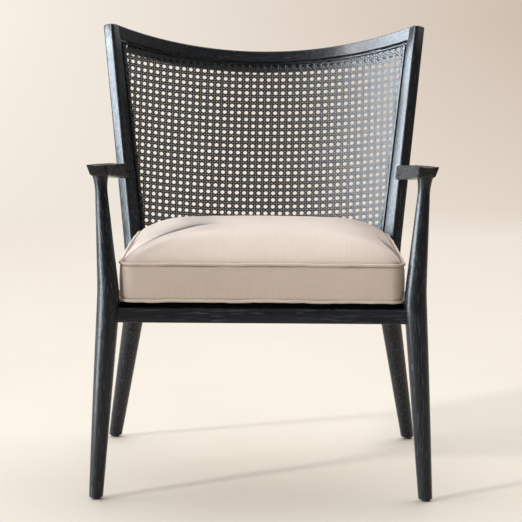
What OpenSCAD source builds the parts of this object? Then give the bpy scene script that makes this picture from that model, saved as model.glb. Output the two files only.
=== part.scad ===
// Cane accent chair. The sitter faces -Y, +X is on the right seen from the front, and Z is up.
// The origin is on the floor, in the middle of the rectangle that the chair covers.

/* [Front legs] */
// Distance across between the middles of the front feet
front_foot_span = 646; // [590:1:700]
// Distance across between the middles of the front legs just above the seat rail
front_knee_span = 597; // [570:1:620]
// Distance across between the middles of the front legs at the arms
front_head_span = 628; // [600:1:660]
// How far back a front leg leans between the floor and the arm
front_leg_lean = 28; // [0:1:50]
// Diameter of every leg at its foot
foot_d = 27.5; // [23:0.5:32]
// Thickest diameter of a front leg, at the seat rail
leg_belly_d = 44.5; // [38:0.5:48]
// Slimmest diameter of a front leg, under the arm
leg_neck_d = 23.8; // [20:0.2:28]
// Diameter of a front leg where it meets the arm
leg_head_d = 31; // [27:0.5:34]
// Diameter of the round tenon on top of a front leg
leg_tenon_d = 14; // [10:0.5:17]
// Length of that tenon above the underside of the arm
leg_tenon_l = 13; // [8:0.5:15]

/* [Back posts] */
// Distance across between the middles of the rear feet
rear_foot_span = 648; // [590:1:700]
// Distance from the front feet back to the rear feet
foot_depth = 560; // [500:1:600]
// Thickness of a rear leg at its bend, by the seat
knee_w = 42; // [36:0.5:46]
// Width of the front face of a post at its top
post_w = 24.6; // [20:0.2:29]
// Depth of a post at its top
post_d = 27.6; // [24:0.2:32]
// How much wider a post's front face is above the seat than at its top
post_taper_w = 5; // [0:0.2:8]
// How much deeper a post is above the seat than at its top
post_taper_d = 2.4; // [0:0.2:6]
// Turn of a post's front face beyond the curve of the back
post_turn = 3.7; // [0:0.1:6]

/* [Back] */
// Angle at which the back leans away from upright
back_lean = 16.3; // [10:0.1:20]
// Radius of the curve of the back, on its front face
back_r = 434.4; // [400:0.2:500]
// Distance from the front feet back to the middle of the back
back_y = 600; // [560:1:640]
// Height of the middle of the back above the floor
back_z = 673; // [650:1:700]
// Gap across between the posts at the middle of the back
post_gap = 572; // [540:0.5:590]
// How much that gap widens for each millimetre up the back
post_flare = 0.231; // [0.15:0.001:0.3]
// Height of the top rail's upper edge up the back, in the middle of the rail
top_rail_v = 182; // [170:1:190]
// Rise of the top rail's upper edge from its middle to the posts
top_rail_rise = 23; // [14:1:32]
// Height of the top rail in its middle
top_rail_h = 24; // [18:0.5:34]
// Rise of the top rail's lower edge from its middle to the posts
top_rail_low_rise = 18; // [8:0.5:22]
// Thickness of the top rail and the lower back rail
back_rail_t = 22; // [18:0.5:26]
// Height of the lower back rail's upper edge down the back, below its middle
low_rail_v = 240; // [225:1:250]
// Height of the lower back rail
low_rail_h = 28; // [20:1:36]

/* [Cane] */
// Spacing of the openings across the back
mesh_across = 31.75; // [28:0.25:40]
// Spacing of the openings up the back
mesh_up = 29.8; // [27:0.2:40]
// Width of each opening between the strands
mesh_hole = 19; // [12:0.5:22]
// Thickness of the woven cane
cane_t = 1.6; // [1:0.1:2.4]
// Depth of the cane behind the front face of the posts
cane_depth = 4; // [3:0.1:6]
// Width of the lip behind the cane along the posts
stile_w = 12; // [9:0.5:16]
// Width of the lip behind the cane along the top rail
head_w = 22; // [14:0.5:26]
// Width of the lip behind the cane along the lower back rail
sill_w = 14; // [10:0.5:20]
// Thickness of that lip
lip_t = 8; // [6:0.5:10]
// Width of the bead that holds the cane
bead_w = 3.4; // [2.4:0.1:4.2]
// Distance of the bead's middle from the frame around it
bead_inset = 4.6; // [3.6:0.1:6]

/* [Arms] */
// Height of the arm's top at its front end
arm_front_z = 656.5; // [640:0.5:670]
// Height of the arm's top where it meets the post
arm_rear_z = 618.5; // [600:0.5:630]
// Depth of the arm at its front end
arm_front_h = 21.5; // [19:0.5:26]
// Depth of the arm where it meets the post
arm_rear_h = 33; // [28:0.5:38]
// Width of the arm's top at its front end
arm_front_w = 39; // [36:0.5:46]
// Width of the arm's top where it meets the post
arm_rear_w = 38; // [35:0.5:44]
// How far the arm's sides lean inward from the top down to the underside
arm_rake = 6; // [2:0.5:8]
// How much narrower the arm's underside is than its top
arm_draw = 4; // [0:0.5:7]
// Outward swell of the arm's outer edge at half length
arm_swell = 5; // [0:0.5:10]
// How far the arm reaches forward of the middle of the leg
arm_overhang = 22; // [18:1:30]
// How far the arm's middle stands outward of the leg's
arm_outset = 6; // [3:0.5:8]
// How far the arm's middle stands outward of the post's
arm_rear_outset = 11; // [6:0.5:13]
// Depth of the dish in the arm's top
arm_dish = 2.6; // [0:0.1:3.2]

/* [Seat frame] */
// Height of the top of the seat rails above the floor
rail_top_z = 377; // [365:1:385]
// Height of the seat rails
rail_h = 28; // [25:0.5:36]
// Thickness of the seat rails
rail_t = 24; // [20:0.5:28]
// Rounding of the long edges of the rails
rail_round = 3.5; // [1:0.5:6]
// Height of the corner blocks
block_h = 13; // [11:0.5:14]
// Width of a corner block along a rail
block_w = 50; // [40:1:60]
// Diameter of the glued dowels
dowel_d = 8; // [6:0.5:9]
// Length of the glued dowels
dowel_l = 32; // [26:1:34]

/* [Seat deck] */
// Thickness of the plywood deck
deck_t = 12; // [9:0.5:15]
// Thickness of the pad on the deck
pad_t = 6; // [4:0.5:9]
// Thickness of the black cloth round the deck
cloth_t = 1.2; // [0.8:0.1:1.6]
// Gap between the deck's cloth and the rails
deck_gap = 1.5; // [1:0.1:3]
// Number of staples along each side of the deck
staples_per_side = 7; // [3:1:10]

/* [Feet] */
// Diameter of a glide
glide_d = 18; // [14:0.5:22]
// Height of a glide
glide_h = 5; // [4:0.5:8]
// Length of a glide's nail above the glide
nail_l = 18; // [12:1:24]

/* [Cushion] */
// Gap between the cushion's front corners and the front legs
cushion_leg_gap = 0.5; // [0.5:0.5:12]
// Gap between the cushion's rear corners and the posts
cushion_post_gap = 1.5; // [0.5:0.5:12]
// How much further out the cushion's rear corners stand at the upper seam than at the lower one
cushion_spread = 20; // [0:1:24]
// Outward bow of the cushion's sides
cushion_bow = 2.5; // [0:0.5:5]
// Rise of the upper seam from the front corners to the rear ones
seam_rise = 8; // [0:0.5:12]
// Distance from the middle of the front feet back to the cushion's front edge
cushion_front_y = 8; // [4:1:30]
// Height of the lower seam above the cushion's underside
low_seam_h = 6; // [4:0.5:10]
// Height of the boxing between the two seams
boxing_h = 72; // [60:1:90]
// Height of the crown above the upper seam
crown_h = 54; // [30:1:65]
// Outward bulge of the boxing at half its height
boxing_bulge = 1.5; // [0:0.5:2]
// Diameter of the cord in the seams
welt_d = 6.4; // [4:0.2:8]
// Thickness of the sewn cover with its lining
cover_t = 7; // [5:0.5:9]
// Thickness of the fibre wrap at the sides of the foam
wrap_t = 16; // [12:0.5:24]
// Gap between the cushion's back and the lower back rail
cushion_back_gap = 9; // [6:0.5:16]
// Length of the zip's chain in the back boxing
zip_l = 320; // [200:5:360]

/* [Fits] */
// Gap between parts that move past each other
fit_gap = 0.4; // [0.3:0.05:0.8]
// Radial room round a dowel, a tenon or a nail
bore_room = 0.1; // [0.05:0.05:0.3]

/* [Hidden] */

wood = "#26282b";
black = "#121212";
steel = "#b9bcc0";
ply = "#c9a877";
linen = "#d9cabb";

$fn = 48;
ring_points = 20;
corner_steps = 4;

// Blends and curves
function mix(a, b, t) = a + (b - a) * t;
function ease(t) = t <= 0 ? 0 : t >= 1 ? 1 : t * t * (3 - 2 * t);
// Goes from one line to another that crosses it at height at, with a bend about as long as k
function bent(low, high, z, at, k) = low + (high - low) * (1 + (z - at) / norm([z - at, k])) / 2;
function on_line(a, b, z) = a + (b - a) * (z - a.z) / (b.z - a.z);
function mean(pts) = [for (k = [0 : 2]) [for (p = pts) p[k]] * [for (p = pts) 1] / len(pts)];
function turn_to(d) = [0, acos(d.z / norm(d)), atan2(d.y, d.x)];

// A solid skin over a list of rings, each with the same number of points
module skin(rings) {
    n = len(rings[0]);
    last = len(rings) - 1;
    sides = [for (k = [0 : last - 1]) for (i = [0 : n - 1]) let (j = (i + 1) % n)
        each [[k * n + i, (k + 1) * n + i, (k + 1) * n + j], [k * n + i, (k + 1) * n + j, k * n + j]]];
    low_middle = (last + 1) * n;
    caps = [for (i = [0 : n - 1]) let (j = (i + 1) % n)
        each [[low_middle, i, j], [low_middle + 1, last * n + j, last * n + i]]];
    polyhedron(points = concat([for (r = rings) each r], [mean(rings[0]), mean(rings[last])]),
        faces = concat(sides, caps));
}

// A rectangle with four rounded corners: front inner, front outer, back outer, back inner
function rounded_section(w, d, r) = [for (k = [0 : 3]) for (i = [0 : corner_steps])
    let (side = k == 0 || k == 3 ? -1 : 1, face = k < 2 ? -1 : 1, q = min(r[k], 0.46 * min(w, d)),
         a = 180 + 90 * k + 90 * i / corner_steps)
    [side * (w / 2 - q) + q * cos(a), face * (d / 2 - q) + q * sin(a)]];
function round_ring(c, d) = [for (i = [0 : ring_points - 1])
    let (a = 360 * i / ring_points) c + [d / 2 * cos(a), d / 2 * sin(a), 0]];
// Places a section at c: turn is its angle round the upright, tilt leans it back
function placed_ring(c, pts, turn, tilt) = [for (p = pts)
    let (x = p.x * cos(turn) + p.y * sin(turn), f = p.x * sin(turn) - p.y * cos(turn))
    c + [x, -f * cos(tilt), f * sin(tilt)]];

// The curved back: u goes across, v goes up the back, depth goes behind its front face
function on_back(u, v, depth = 0) =
    let (a = asin(u / back_r), x = (back_r + depth) * sin(a), f = back_r - (back_r + depth) * cos(a))
    [x, back_y + v * sin(back_lean) - f * cos(back_lean), back_z + v * cos(back_lean) + f * sin(back_lean)];
function post_in_u(v) = post_gap / 2 + post_flare / 2 * v;
post_low_v = -low_rail_v;
post_top_v = top_rail_v + top_rail_rise;
function post_share(v) = (post_top_v - v) / (post_top_v - post_low_v);
function post_w_at(v) = post_w + post_taper_w * post_share(v);
function post_d_at(v) = post_d + post_taper_d * post_share(v);
function post_angle(v) = asin((post_in_u(v) + 0.37 * post_w) / back_r) + post_turn;
function post_centre(v) = placed_ring(on_back(post_in_u(v), v), [[post_w_at(v) / 2, post_d_at(v) / 2]],
    post_angle(v), back_lean)[0];
module in_back() translate([0, back_y, back_z]) rotate([-back_lean, 0, 0])
    translate([0, -back_r, 0]) children();

// Heights that the pieces share
joint_room = 8;
rail_mid_z = rail_top_z - rail_h / 2;
rail_low_z = rail_top_z - rail_h;
front_knee_rise = 21;
front_knee_z = rail_top_z + front_knee_rise;
rear_knee_drop = 2;
rear_knee_z = rail_low_z - rear_knee_drop;
deck_sink = 12.2;
block_top_z = rail_top_z - deck_sink;
cloth_low_z = block_top_z;
deck_low_z = cloth_low_z + cloth_t;
pad_low_z = deck_low_z + deck_t;
cloth_top_z = pad_low_z + pad_t + cloth_t;

// Where the arm runs: s goes from 0 at its front end to 1 at its rear tip, behind the joint with the post
arm_joint_s = 0.92;
arm_tip_y = 6;
function arm_y(s) = mix(leg_head_y - arm_overhang, post_at_arm.y + arm_tip_y, s);
function arm_top_z(s) = mix(arm_front_z, arm_rear_z, s / arm_joint_s);
function arm_h(s) = mix(arm_front_h, arm_rear_h, s / arm_joint_s);
post_at_arm = on_line(post_centre(post_low_v), post_centre(0), arm_rear_z - arm_rear_h / 2);
leg_head_y = front_leg_lean;
leg_head_s = arm_overhang / (arm_y(1) - arm_y(0));
leg_head_z = arm_top_z(leg_head_s) - arm_h(leg_head_s);

// Front leg
leg_foot = [front_foot_span / 2, 0, 0];
leg_knee = [front_knee_span / 2, front_leg_lean * front_knee_z / leg_head_z, front_knee_z];
leg_head = [front_head_span / 2, front_leg_lean, leg_head_z];
leg_bend_h = 40;
function leg_centre(z) = bent(on_line(leg_foot, leg_knee, z), on_line(leg_knee, leg_head, z), z,
    front_knee_z, leg_bend_h);
leg_flare_h = 30;
leg_neck_z = leg_head_z - leg_flare_h;
leg_belly_z = rail_top_z + joint_room;
leg_belly_bend_h = 24;
leg_swell = 0.8;
function leg_low_d(z) = mix(foot_d, leg_belly_d, z / leg_belly_z) + leg_swell * sin(180 * z / leg_belly_z);
function leg_high_d(z) = mix(leg_belly_d, leg_neck_d, (z - leg_belly_z) / (leg_neck_z - leg_belly_z));
function leg_d(z) = z < leg_neck_z ? bent(leg_low_d(z), leg_high_d(z), z, leg_belly_z, leg_belly_bend_h)
    : mix(leg_neck_d, leg_head_d, pow((z - leg_neck_z) / (leg_head_z - leg_neck_z), 2));
leg_low_steps = 6;
leg_high_steps = 9;
leg_low_zs = [for (i = [0 : leg_low_steps]) mix(glide_h, rail_low_z - joint_room, i / leg_low_steps)];
leg_mid_zs = [rail_mid_z, rail_top_z + joint_room];
leg_high_zs = [for (i = [1 : leg_high_steps])
    mix(rail_top_z + joint_room, leg_neck_z, i / leg_high_steps)];
leg_head_zs = [for (k = [0.35, 0.65, 0.85, 1, 1.1]) mix(leg_neck_z, leg_head_z, k)];
leg_zs = concat(leg_low_zs, leg_mid_zs, leg_high_zs, leg_head_zs);
module leg_form(zs) skin([for (z = zs) round_ring(leg_centre(z), leg_d(z))]);
module leg_joint_form() leg_form(concat([leg_low_zs[leg_low_steps]], leg_mid_zs, [leg_high_zs[0]]));

// Rear leg and post
foot_rear = [rear_foot_span / 2, foot_depth, 0];
post_base = post_centre(post_low_v);
post_next = post_centre(0);
knee_rear = on_line(post_base, post_next, rear_knee_z);
rear_bend_h = 14;
function rear_centre(z) = bent(on_line(foot_rear, knee_rear, z), on_line(post_base, post_next, z), z,
    rear_knee_z, rear_bend_h);
function knee_share(z) = ease((z - rear_knee_z) / (post_base.z - rear_knee_z));
function rear_low_w(z) = mix(foot_d, knee_w, z / rear_knee_z);
function rear_w(z) = z < rear_knee_z ? rear_low_w(z) : mix(knee_w, post_w_at(post_low_v), knee_share(z));
function rear_d(z) = z < rear_knee_z ? rear_low_w(z) : mix(knee_w, post_d_at(post_low_v), knee_share(z));
post_inner_round = 1.5;
post_outer_round = 6.5;
post_back_round = 6;
post_hind_round = 3;
post_radii = [post_inner_round, post_outer_round, post_back_round, post_hind_round];
knee_round = 15;
function rear_radii(z) = z < rear_knee_z
    ? [for (r = post_radii) mix(0.46 * foot_d, knee_round, ease(z / rear_knee_z))]
    : [for (r = post_radii) mix(knee_round, r, knee_share(z))];
rear_low_steps = 6;
rear_low_zs = [for (i = [0 : rear_low_steps])
    mix(glide_h, rail_low_z - 2 * joint_room, i / rear_low_steps)];
rear_knee_zs = concat([rail_low_z, rail_mid_z, rail_top_z + joint_room],
    [for (k = [0.33, 0.66]) mix(rail_top_z + joint_room, post_base.z, k)]);
function rear_ring(z) = placed_ring(rear_centre(z), rounded_section(rear_w(z), rear_d(z), rear_radii(z)),
    post_angle(post_low_v), back_lean * knee_share(z));
post_steps = 7;
post_edge = 2;
post_vs = [for (i = [0 : post_steps]) mix(post_low_v, post_top_v - post_edge, i / post_steps)];
function post_ring(v, inset = 0) = placed_ring(post_centre(v),
    rounded_section(post_w_at(v) - 2 * inset, post_d_at(v) - 2 * inset, post_radii), post_angle(v),
    back_lean);
rear_low_rings = [for (z = concat(rear_low_zs, rear_knee_zs)) rear_ring(z)];
post_rings = concat([for (v = post_vs) post_ring(v)], [post_ring(post_top_v, post_edge * 0.7)]);
module post_form() skin(concat(rear_low_rings, post_rings));
module knee_form() skin([for (k = [rear_low_steps : rear_low_steps + 4]) rear_low_rings[k]]);
// The stretches of a post at the top rail, at the arm and at the lower back rail
module post_head_form() skin([for (k = [post_steps - 2 : post_steps + 1]) post_rings[k]]);
module post_arm_form() skin([for (k = [1 : post_steps - 3]) post_rings[k]]);
module post_lap_form() skin(concat([for (k = [rear_low_steps + 3 : rear_low_steps + 5]) rear_low_rings[k]],
    [post_rings[0], post_rings[1]]));

// The rectangle that the chair covers, front to back
back_rail_round = 2;
front_reach = -foot_d / 2;
rear_reach = on_back(0, top_rail_v - back_rail_round, back_rail_t).y;
middle_y = (front_reach + rear_reach) / 2;
module chair() { translate([0, -middle_y, 0]) children(); }
module right_and_left() { children(); mirror([1, 0, 0]) children(); }

// Dowels: a place, a direction and a node that each one joins
module pin(at, along, d, l) { translate(at) rotate(turn_to(along)) cylinder(d = d, h = l, center = true); }
rail_dowel_rise = rail_h * 0.27;
front_rail_y = leg_centre(rail_mid_z).y;
rear_rail_y = rear_centre(rail_mid_z).y + 2;
side_from = leg_centre(rail_mid_z);
side_to = rear_centre(rail_mid_z);
side_along = (side_to - side_from) / norm(side_to - side_from);
front_dowel_x = side_from.x - leg_belly_d / 2;
rear_dowel_x = side_to.x - knee_w / 2;
side_front_dowel = side_from + side_along * leg_belly_d / 2;
side_rear_dowel = side_to - side_along * (knee_w / 2 + 1);
module rail_dowel(at, along, room) pin(at, along, dowel_d + 2 * room, dowel_l + 10 * room);
module rail_dowel_set(room = 0) {
    for (z = [rail_mid_z - rail_dowel_rise, rail_mid_z + rail_dowel_rise]) {
        rail_dowel([front_dowel_x, front_rail_y, z], [1, 0, 0], room);
        rail_dowel([rear_dowel_x, rear_rail_y, z], [1, 0, 0], room);
        rail_dowel([side_front_dowel.x, side_front_dowel.y, z], side_along, room);
        rail_dowel([side_rear_dowel.x, side_rear_dowel.y, z], side_along, room);
    }
}
function tangent(v) = placed_ring([0, 0, 0], [[1, 0]], post_angle(v), back_lean)[0];
back_dowel_depth = back_rail_t / 2;
function back_dowel_at(v) = placed_ring(on_back(post_in_u(v), v), [[0, back_dowel_depth]],
    post_angle(v), back_lean)[0];
top_end_u = post_in_u(top_rail_v);
top_dowel_vs = [for (k = [0.25, 0.65]) mix(top_low(top_end_u), top_high(top_end_u), k)];
low_dowel_vs = [post_low_v - low_rail_h * 0.25, post_low_v - low_rail_h * 0.75];
back_dowel_d = dowel_d * 0.75;
module back_dowel_set(room = 0) {
    for (v = concat(top_dowel_vs, low_dowel_vs))
        pin(back_dowel_at(v), tangent(v), back_dowel_d + 2 * room, dowel_l + 10 * room);
}
arm_dowel_rise = arm_rear_h * 0.21;
arm_dowel_l = dowel_l * 0.8;
module arm_dowel_set(room = 0) {
    for (dz = [-arm_dowel_rise, arm_dowel_rise])
        pin(post_at_arm + [2, -post_w_at(0) * 0.6, dz], [0, 1, 0],
            back_dowel_d + 2 * room, arm_dowel_l + 10 * room);
}

// Glides and their nails, under a leg whose foot is at p
nail_d = 2.6;
nail_head_d = 9;
nail_head_h = 1.4;
nail_head_z = 1.8;
module glide(p) translate([p.x, p.y, 0]) difference() {
    union() {
        translate([0, 0, 1]) cylinder(d = glide_d, h = glide_h - 1);
        cylinder(d1 = glide_d - 2, d2 = glide_d, h = 1);
    }
    translate([0, 0, nail_head_z]) cylinder(d = nail_head_d + 2 * bore_room, h = nail_head_h + bore_room);
    translate([0, 0, nail_head_z]) cylinder(d = nail_d + 2 * bore_room, h = glide_h);
}
module nail(p, room = 0) translate([p.x, p.y, nail_head_z]) {
    cylinder(d = nail_head_d + 2 * room, h = nail_head_h);
    cylinder(d = nail_d + 2 * room, h = glide_h - nail_head_z + nail_l + room);
}

tenon_root = 8;
module front_leg() {
    difference() {
        leg_form(leg_zs);
        arm_head_form();
        rail_dowel_set(bore_room);
        nail(leg_foot, bore_room);
    }
    translate([leg_head.x, leg_head.y, leg_head_z - tenon_root])
        cylinder(d = leg_tenon_d, h = tenon_root + leg_tenon_l);
}
module front_leg_right() { color(wood) chair() front_leg(); }
module front_leg_left() { color(wood) chair() mirror([1, 0, 0]) front_leg(); }

module back_post() difference() {
    post_form();
    rail_dowel_set(bore_room);
    back_dowel_set(bore_room);
    arm_dowel_set(bore_room);
    nail(foot_rear, bore_room);
}
module back_post_right() { color(wood) chair() back_post(); }
module back_post_left() { color(wood) chair() mirror([1, 0, 0]) back_post(); }

// Seat rails
module rail_bar(l) rotate([90, 0, 90]) translate([0, 0, -l / 2]) linear_extrude(l) {
    square([rail_t - 2 * rail_round, rail_h], center = true);
    square([rail_t, rail_h - 2 * rail_round], center = true);
    for (x = [-1, 1]) for (y = [-1, 1])
        translate([x * (rail_t / 2 - rail_round), y * (rail_h / 2 - rail_round)]) circle(r = rail_round);
}
screw_d = 4;
screw_head_d = 8;
screw_l = 27;
screw_head_h = 2.4;
screw_set_back = 16;
module front_rail() { color(wood) chair() difference() {
    translate([0, front_rail_y, rail_mid_z]) rail_bar(2 * side_from.x);
    right_and_left() leg_joint_form();
    right_and_left() rail_dowel_set(bore_room);
    right_and_left() block_screw_set(bore_room);
} }
module rear_rail() { color(wood) chair() difference() {
    translate([0, rear_rail_y, rail_mid_z]) rail_bar(2 * side_to.x);
    right_and_left() knee_form();
    right_and_left() rail_dowel_set(bore_room);
    right_and_left() block_screw_set(bore_room);
} }
module side_rail() difference() {
    translate((side_from + side_to) / 2) rotate([0, 0, atan2(side_along.y, side_along.x)])
        rail_bar(norm(side_to - side_from));
    leg_joint_form();
    knee_form();
    rail_dowel_set(bore_room);
    block_screw_set(bore_room);
}
module side_rail_right() { color(wood) chair() side_rail(); }
module side_rail_left() { color(wood) chair() mirror([1, 0, 0]) side_rail(); }

// Corner blocks: each spans from a cross rail to a side rail
side_in = side_from + [-rail_t / 2 / side_along.y, 0, 0];
function side_face(y) = [side_in.x + (y - side_in.y) * side_along.x / side_along.y, y];
front_face_y = front_rail_y + rail_t / 2;
rear_face_y = rear_rail_y - rail_t / 2;
front_block_room = 24;
rear_block_room = 32;
front_block_x = side_face(front_face_y).x - front_block_room;
rear_block_x = side_face(rear_face_y).x - rear_block_room;
front_block_y = front_face_y + front_block_room;
rear_block_y = rear_face_y - rear_block_room;
front_block_pts = [[front_block_x, front_face_y], side_face(front_block_y),
    side_face(front_block_y + block_w), [front_block_x - block_w, front_face_y]];
rear_block_pts = [[rear_block_x, rear_face_y], [rear_block_x - block_w, rear_face_y],
    side_face(rear_block_y - block_w), side_face(rear_block_y)];
function middle(pts) = (pts[0] + pts[1] + pts[2] + pts[3]) / 4;
block_mid_z = block_top_z - block_h / 2;
module screw(at, along, room = 0) translate(at) rotate(turn_to(along)) {
    translate([0, 0, -room]) cylinder(d = screw_head_d + 2 * room, h = screw_head_h + room);
    cylinder(d = screw_d + 2 * room, h = screw_l + 4 * room);
}
module block_screw_set(room = 0) {
    screw([front_block_x - block_w * 0.3, front_face_y + screw_set_back, block_mid_z], [0, -1, 0], room);
    screw([rear_block_x - block_w * 0.3, rear_face_y - screw_set_back, block_mid_z], [0, 1, 0], room);
    for (y = [front_block_y + block_w * 0.3, rear_block_y - block_w * 0.3])
        screw([side_face(y).x - screw_set_back, y, block_mid_z], [1, 0, 0], room);
}
module deck_screw_set(room = 0) {
    for (pts = [front_block_pts, rear_block_pts])
        translate([middle(pts).x, middle(pts).y, block_top_z - block_h]) {
            translate([0, 0, -room]) cylinder(d = screw_head_d + 2 * room, h = screw_head_h + room);
            cylinder(d = screw_d + 2 * room, h = block_h + deck_t * 0.7 + room);
        }
}
module corner_block(pts) difference() {
    translate([0, 0, block_top_z - block_h]) linear_extrude(block_h) polygon(pts);
    block_screw_set(bore_room);
    deck_screw_set(bore_room);
}
module corner_block_front_right() { color(ply) chair() corner_block(front_block_pts); }
module corner_block_front_left() { color(ply) chair() mirror([1, 0, 0]) corner_block(front_block_pts); }
module corner_block_rear_right() { color(ply) chair() corner_block(rear_block_pts); }
module corner_block_rear_left() { color(ply) chair() mirror([1, 0, 0]) corner_block(rear_block_pts); }
module corner_block_screws() { color(steel) chair() right_and_left() block_screw_set(); }
module deck_screws() { color(steel) chair() right_and_left() deck_screw_set(); }

// Seat deck: plywood, pad and cloth, cut round the legs
deck_leg_room = 3;
module deck_outline(inset) difference() {
    polygon([for (s = [-1, 1]) each
        let (near = side_face(front_face_y + deck_gap + inset),
             far = side_face(rear_face_y - deck_gap - inset),
             edge = (deck_gap + inset) / side_along.y)
        s < 0 ? [[-near.x + edge, near.y], [near.x - edge, near.y]]
              : [[far.x - edge, far.y], [-far.x + edge, far.y]]]);
    right_and_left() translate([side_from.x, side_from.y])
        circle(r = leg_belly_d / 2 + deck_leg_room + inset);
    right_and_left() translate([side_to.x, side_to.y])
        circle(r = knee_w * 0.6 + deck_leg_room + inset);
}
module seat_panel() { color(ply) chair() difference() {
    translate([0, 0, deck_low_z]) linear_extrude(deck_t) deck_outline(cloth_t);
    right_and_left() deck_screw_set(bore_room);
    deck_staple_set(bore_room);
} }
module deck_pad() { color("#8a8a86") chair() translate([0, 0, pad_low_z]) linear_extrude(pad_t)
    deck_outline(cloth_t); }
fold_w = 26;
module deck_cover() { color(black) chair() difference() {
    translate([0, 0, cloth_low_z]) linear_extrude(cloth_top_z - cloth_low_z) deck_outline(0);
    translate([0, 0, deck_low_z]) linear_extrude(deck_t + pad_t) deck_outline(cloth_t);
    translate([0, 0, cloth_low_z - 1]) linear_extrude(cloth_t + 2) deck_outline(fold_w);
    deck_staple_set(bore_room);
    right_and_left() deck_screw_set(bore_room);
} }
staple_w = 9;
staple_t = 1;
staple_leg = 6;
staple_crown = 0.8;
staple_stand = 0.4;
staple_edge = fold_w * 0.6;
module staple() translate([0, 0, -staple_stand]) {
    translate([-staple_w / 2, -staple_t / 2, 0]) cube([staple_w, staple_t, staple_crown]);
    for (x = [-staple_w / 2, staple_w / 2 - staple_t])
        translate([x, -staple_t / 2, 0]) cube([staple_t, staple_t, staple_leg]);
}
module deck_staple_set(room = 0) {
    span_x = side_to.x * 1.3;
    span_y = (rear_face_y - front_face_y) * 0.6;
    mid_y = (rear_face_y + front_face_y) / 2;
    for (i = [0 : staples_per_side - 1]) {
        t = i / (staples_per_side - 1) - 0.5;
        for (y = [front_face_y + deck_gap + staple_edge, rear_face_y - deck_gap - staple_edge])
            translate([t * span_x, y, cloth_low_z]) grown_staple(room);
        for (s = [-1, 1])
            translate([s * (side_face(mid_y + t * span_y).x - deck_gap - staple_edge), mid_y + t * span_y,
                cloth_low_z]) rotate([0, 0, 90]) grown_staple(room);
    }
}
module grown_staple(room) {
    if (room == 0) staple();
    else translate([-staple_w / 2 - room, -staple_t / 2 - room, -staple_stand - room])
        cube([staple_w + 2 * room, staple_t + 2 * room, staple_leg + 2 * room]);
}
module deck_staples() { color(steel) chair() deck_staple_set(); }

// Curved rails of the back
arc_steps = 22;
rail_reach = 12;
function across(edge) = [for (i = [0 : arc_steps]) edge * (2 * i / arc_steps - 1)];
function rise(u) = pow(u / post_in_u(top_rail_v), 2);
function top_high(u) = top_rail_v + top_rail_rise * rise(u);
function top_low(u) = top_rail_v - top_rail_h + top_rail_low_rise * rise(u);
// Section of a strip that runs across: its corners are [v, depth] pairs
function across_ring(u, pts) = [for (p = pts) on_back(u, p.x, p.y)];
function soft_box(low, high, front, back, r) = [[low + r, front], [low, front + r], [low, back - r],
    [low + r, back], [high - r, back], [high, back - r], [high, front + r], [high - r, front]];
module top_rail() { color(wood) chair() difference() {
    skin([for (u = across(post_in_u(top_rail_v) + rail_reach))
        across_ring(u, soft_box(top_low(u), top_high(u), 0, back_rail_t, back_rail_round))]);
    right_and_left() post_head_form();
    right_and_left() back_dowel_set(bore_room);
} }
module lower_back_rail() { color(wood) chair() difference() {
    skin([for (u = across(post_in_u(post_low_v) + rail_reach))
        across_ring(u, soft_box(post_low_v - low_rail_h, post_low_v, 0, back_rail_t, back_rail_round))]);
    right_and_left() post_lap_form();
    right_and_left() back_dowel_set(bore_room);
} }
module back_rail_dowels() { color(ply) chair() right_and_left() back_dowel_set(); }
module rail_dowels() { color(ply) chair() right_and_left() rail_dowel_set(); }
module arm_dowels() { color(ply) chair() right_and_left() arm_dowel_set(); }

// The lip behind the cane, in four pieces, and the bead that holds the cane to it
glue_gap = 0.4;
lip_front = cane_depth + cane_t + glue_gap;
lip_back = lip_front + lip_t;
lip_room = 0.6;
lip_steps = 6;
function inner_u(v, inset) = post_in_u(v) - inset;
function head_low(u) = top_low(u) - head_w;
sill_high = post_low_v + sill_w;
module cane_stile() {
    low = post_low_v + lip_room;
    high = top_low(inner_u(top_rail_v, stile_w)) - lip_room - 1;
    skin([for (i = [0 : lip_steps]) let (v = mix(low, high, i / lip_steps))
        [on_back(inner_u(v, stile_w), v, lip_front), on_back(inner_u(v, lip_room), v, lip_front),
         on_back(inner_u(v, lip_room), v, lip_back), on_back(inner_u(v, stile_w), v, lip_back)]]);
}
module cane_stile_right() { color(wood) chair() cane_stile(); }
module cane_stile_left() { color(wood) chair() mirror([1, 0, 0]) cane_stile(); }
module cane_head() { color(wood) chair()
    skin([for (u = across(inner_u(top_rail_v - top_rail_h - head_w, stile_w + 0.3)))
        across_ring(u, [[head_low(u), lip_front], [head_low(u), lip_back],
            [top_low(u) - lip_room, lip_back], [top_low(u) - lip_room, lip_front]])]);
}
module cane_sill() { color(wood) chair()
    skin([for (u = across(inner_u(post_low_v, stile_w + 0.3)))
        across_ring(u, [[post_low_v + lip_room, lip_front], [post_low_v + lip_room, lip_back],
            [sill_high, lip_back], [sill_high, lip_front]])]);
}
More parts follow.
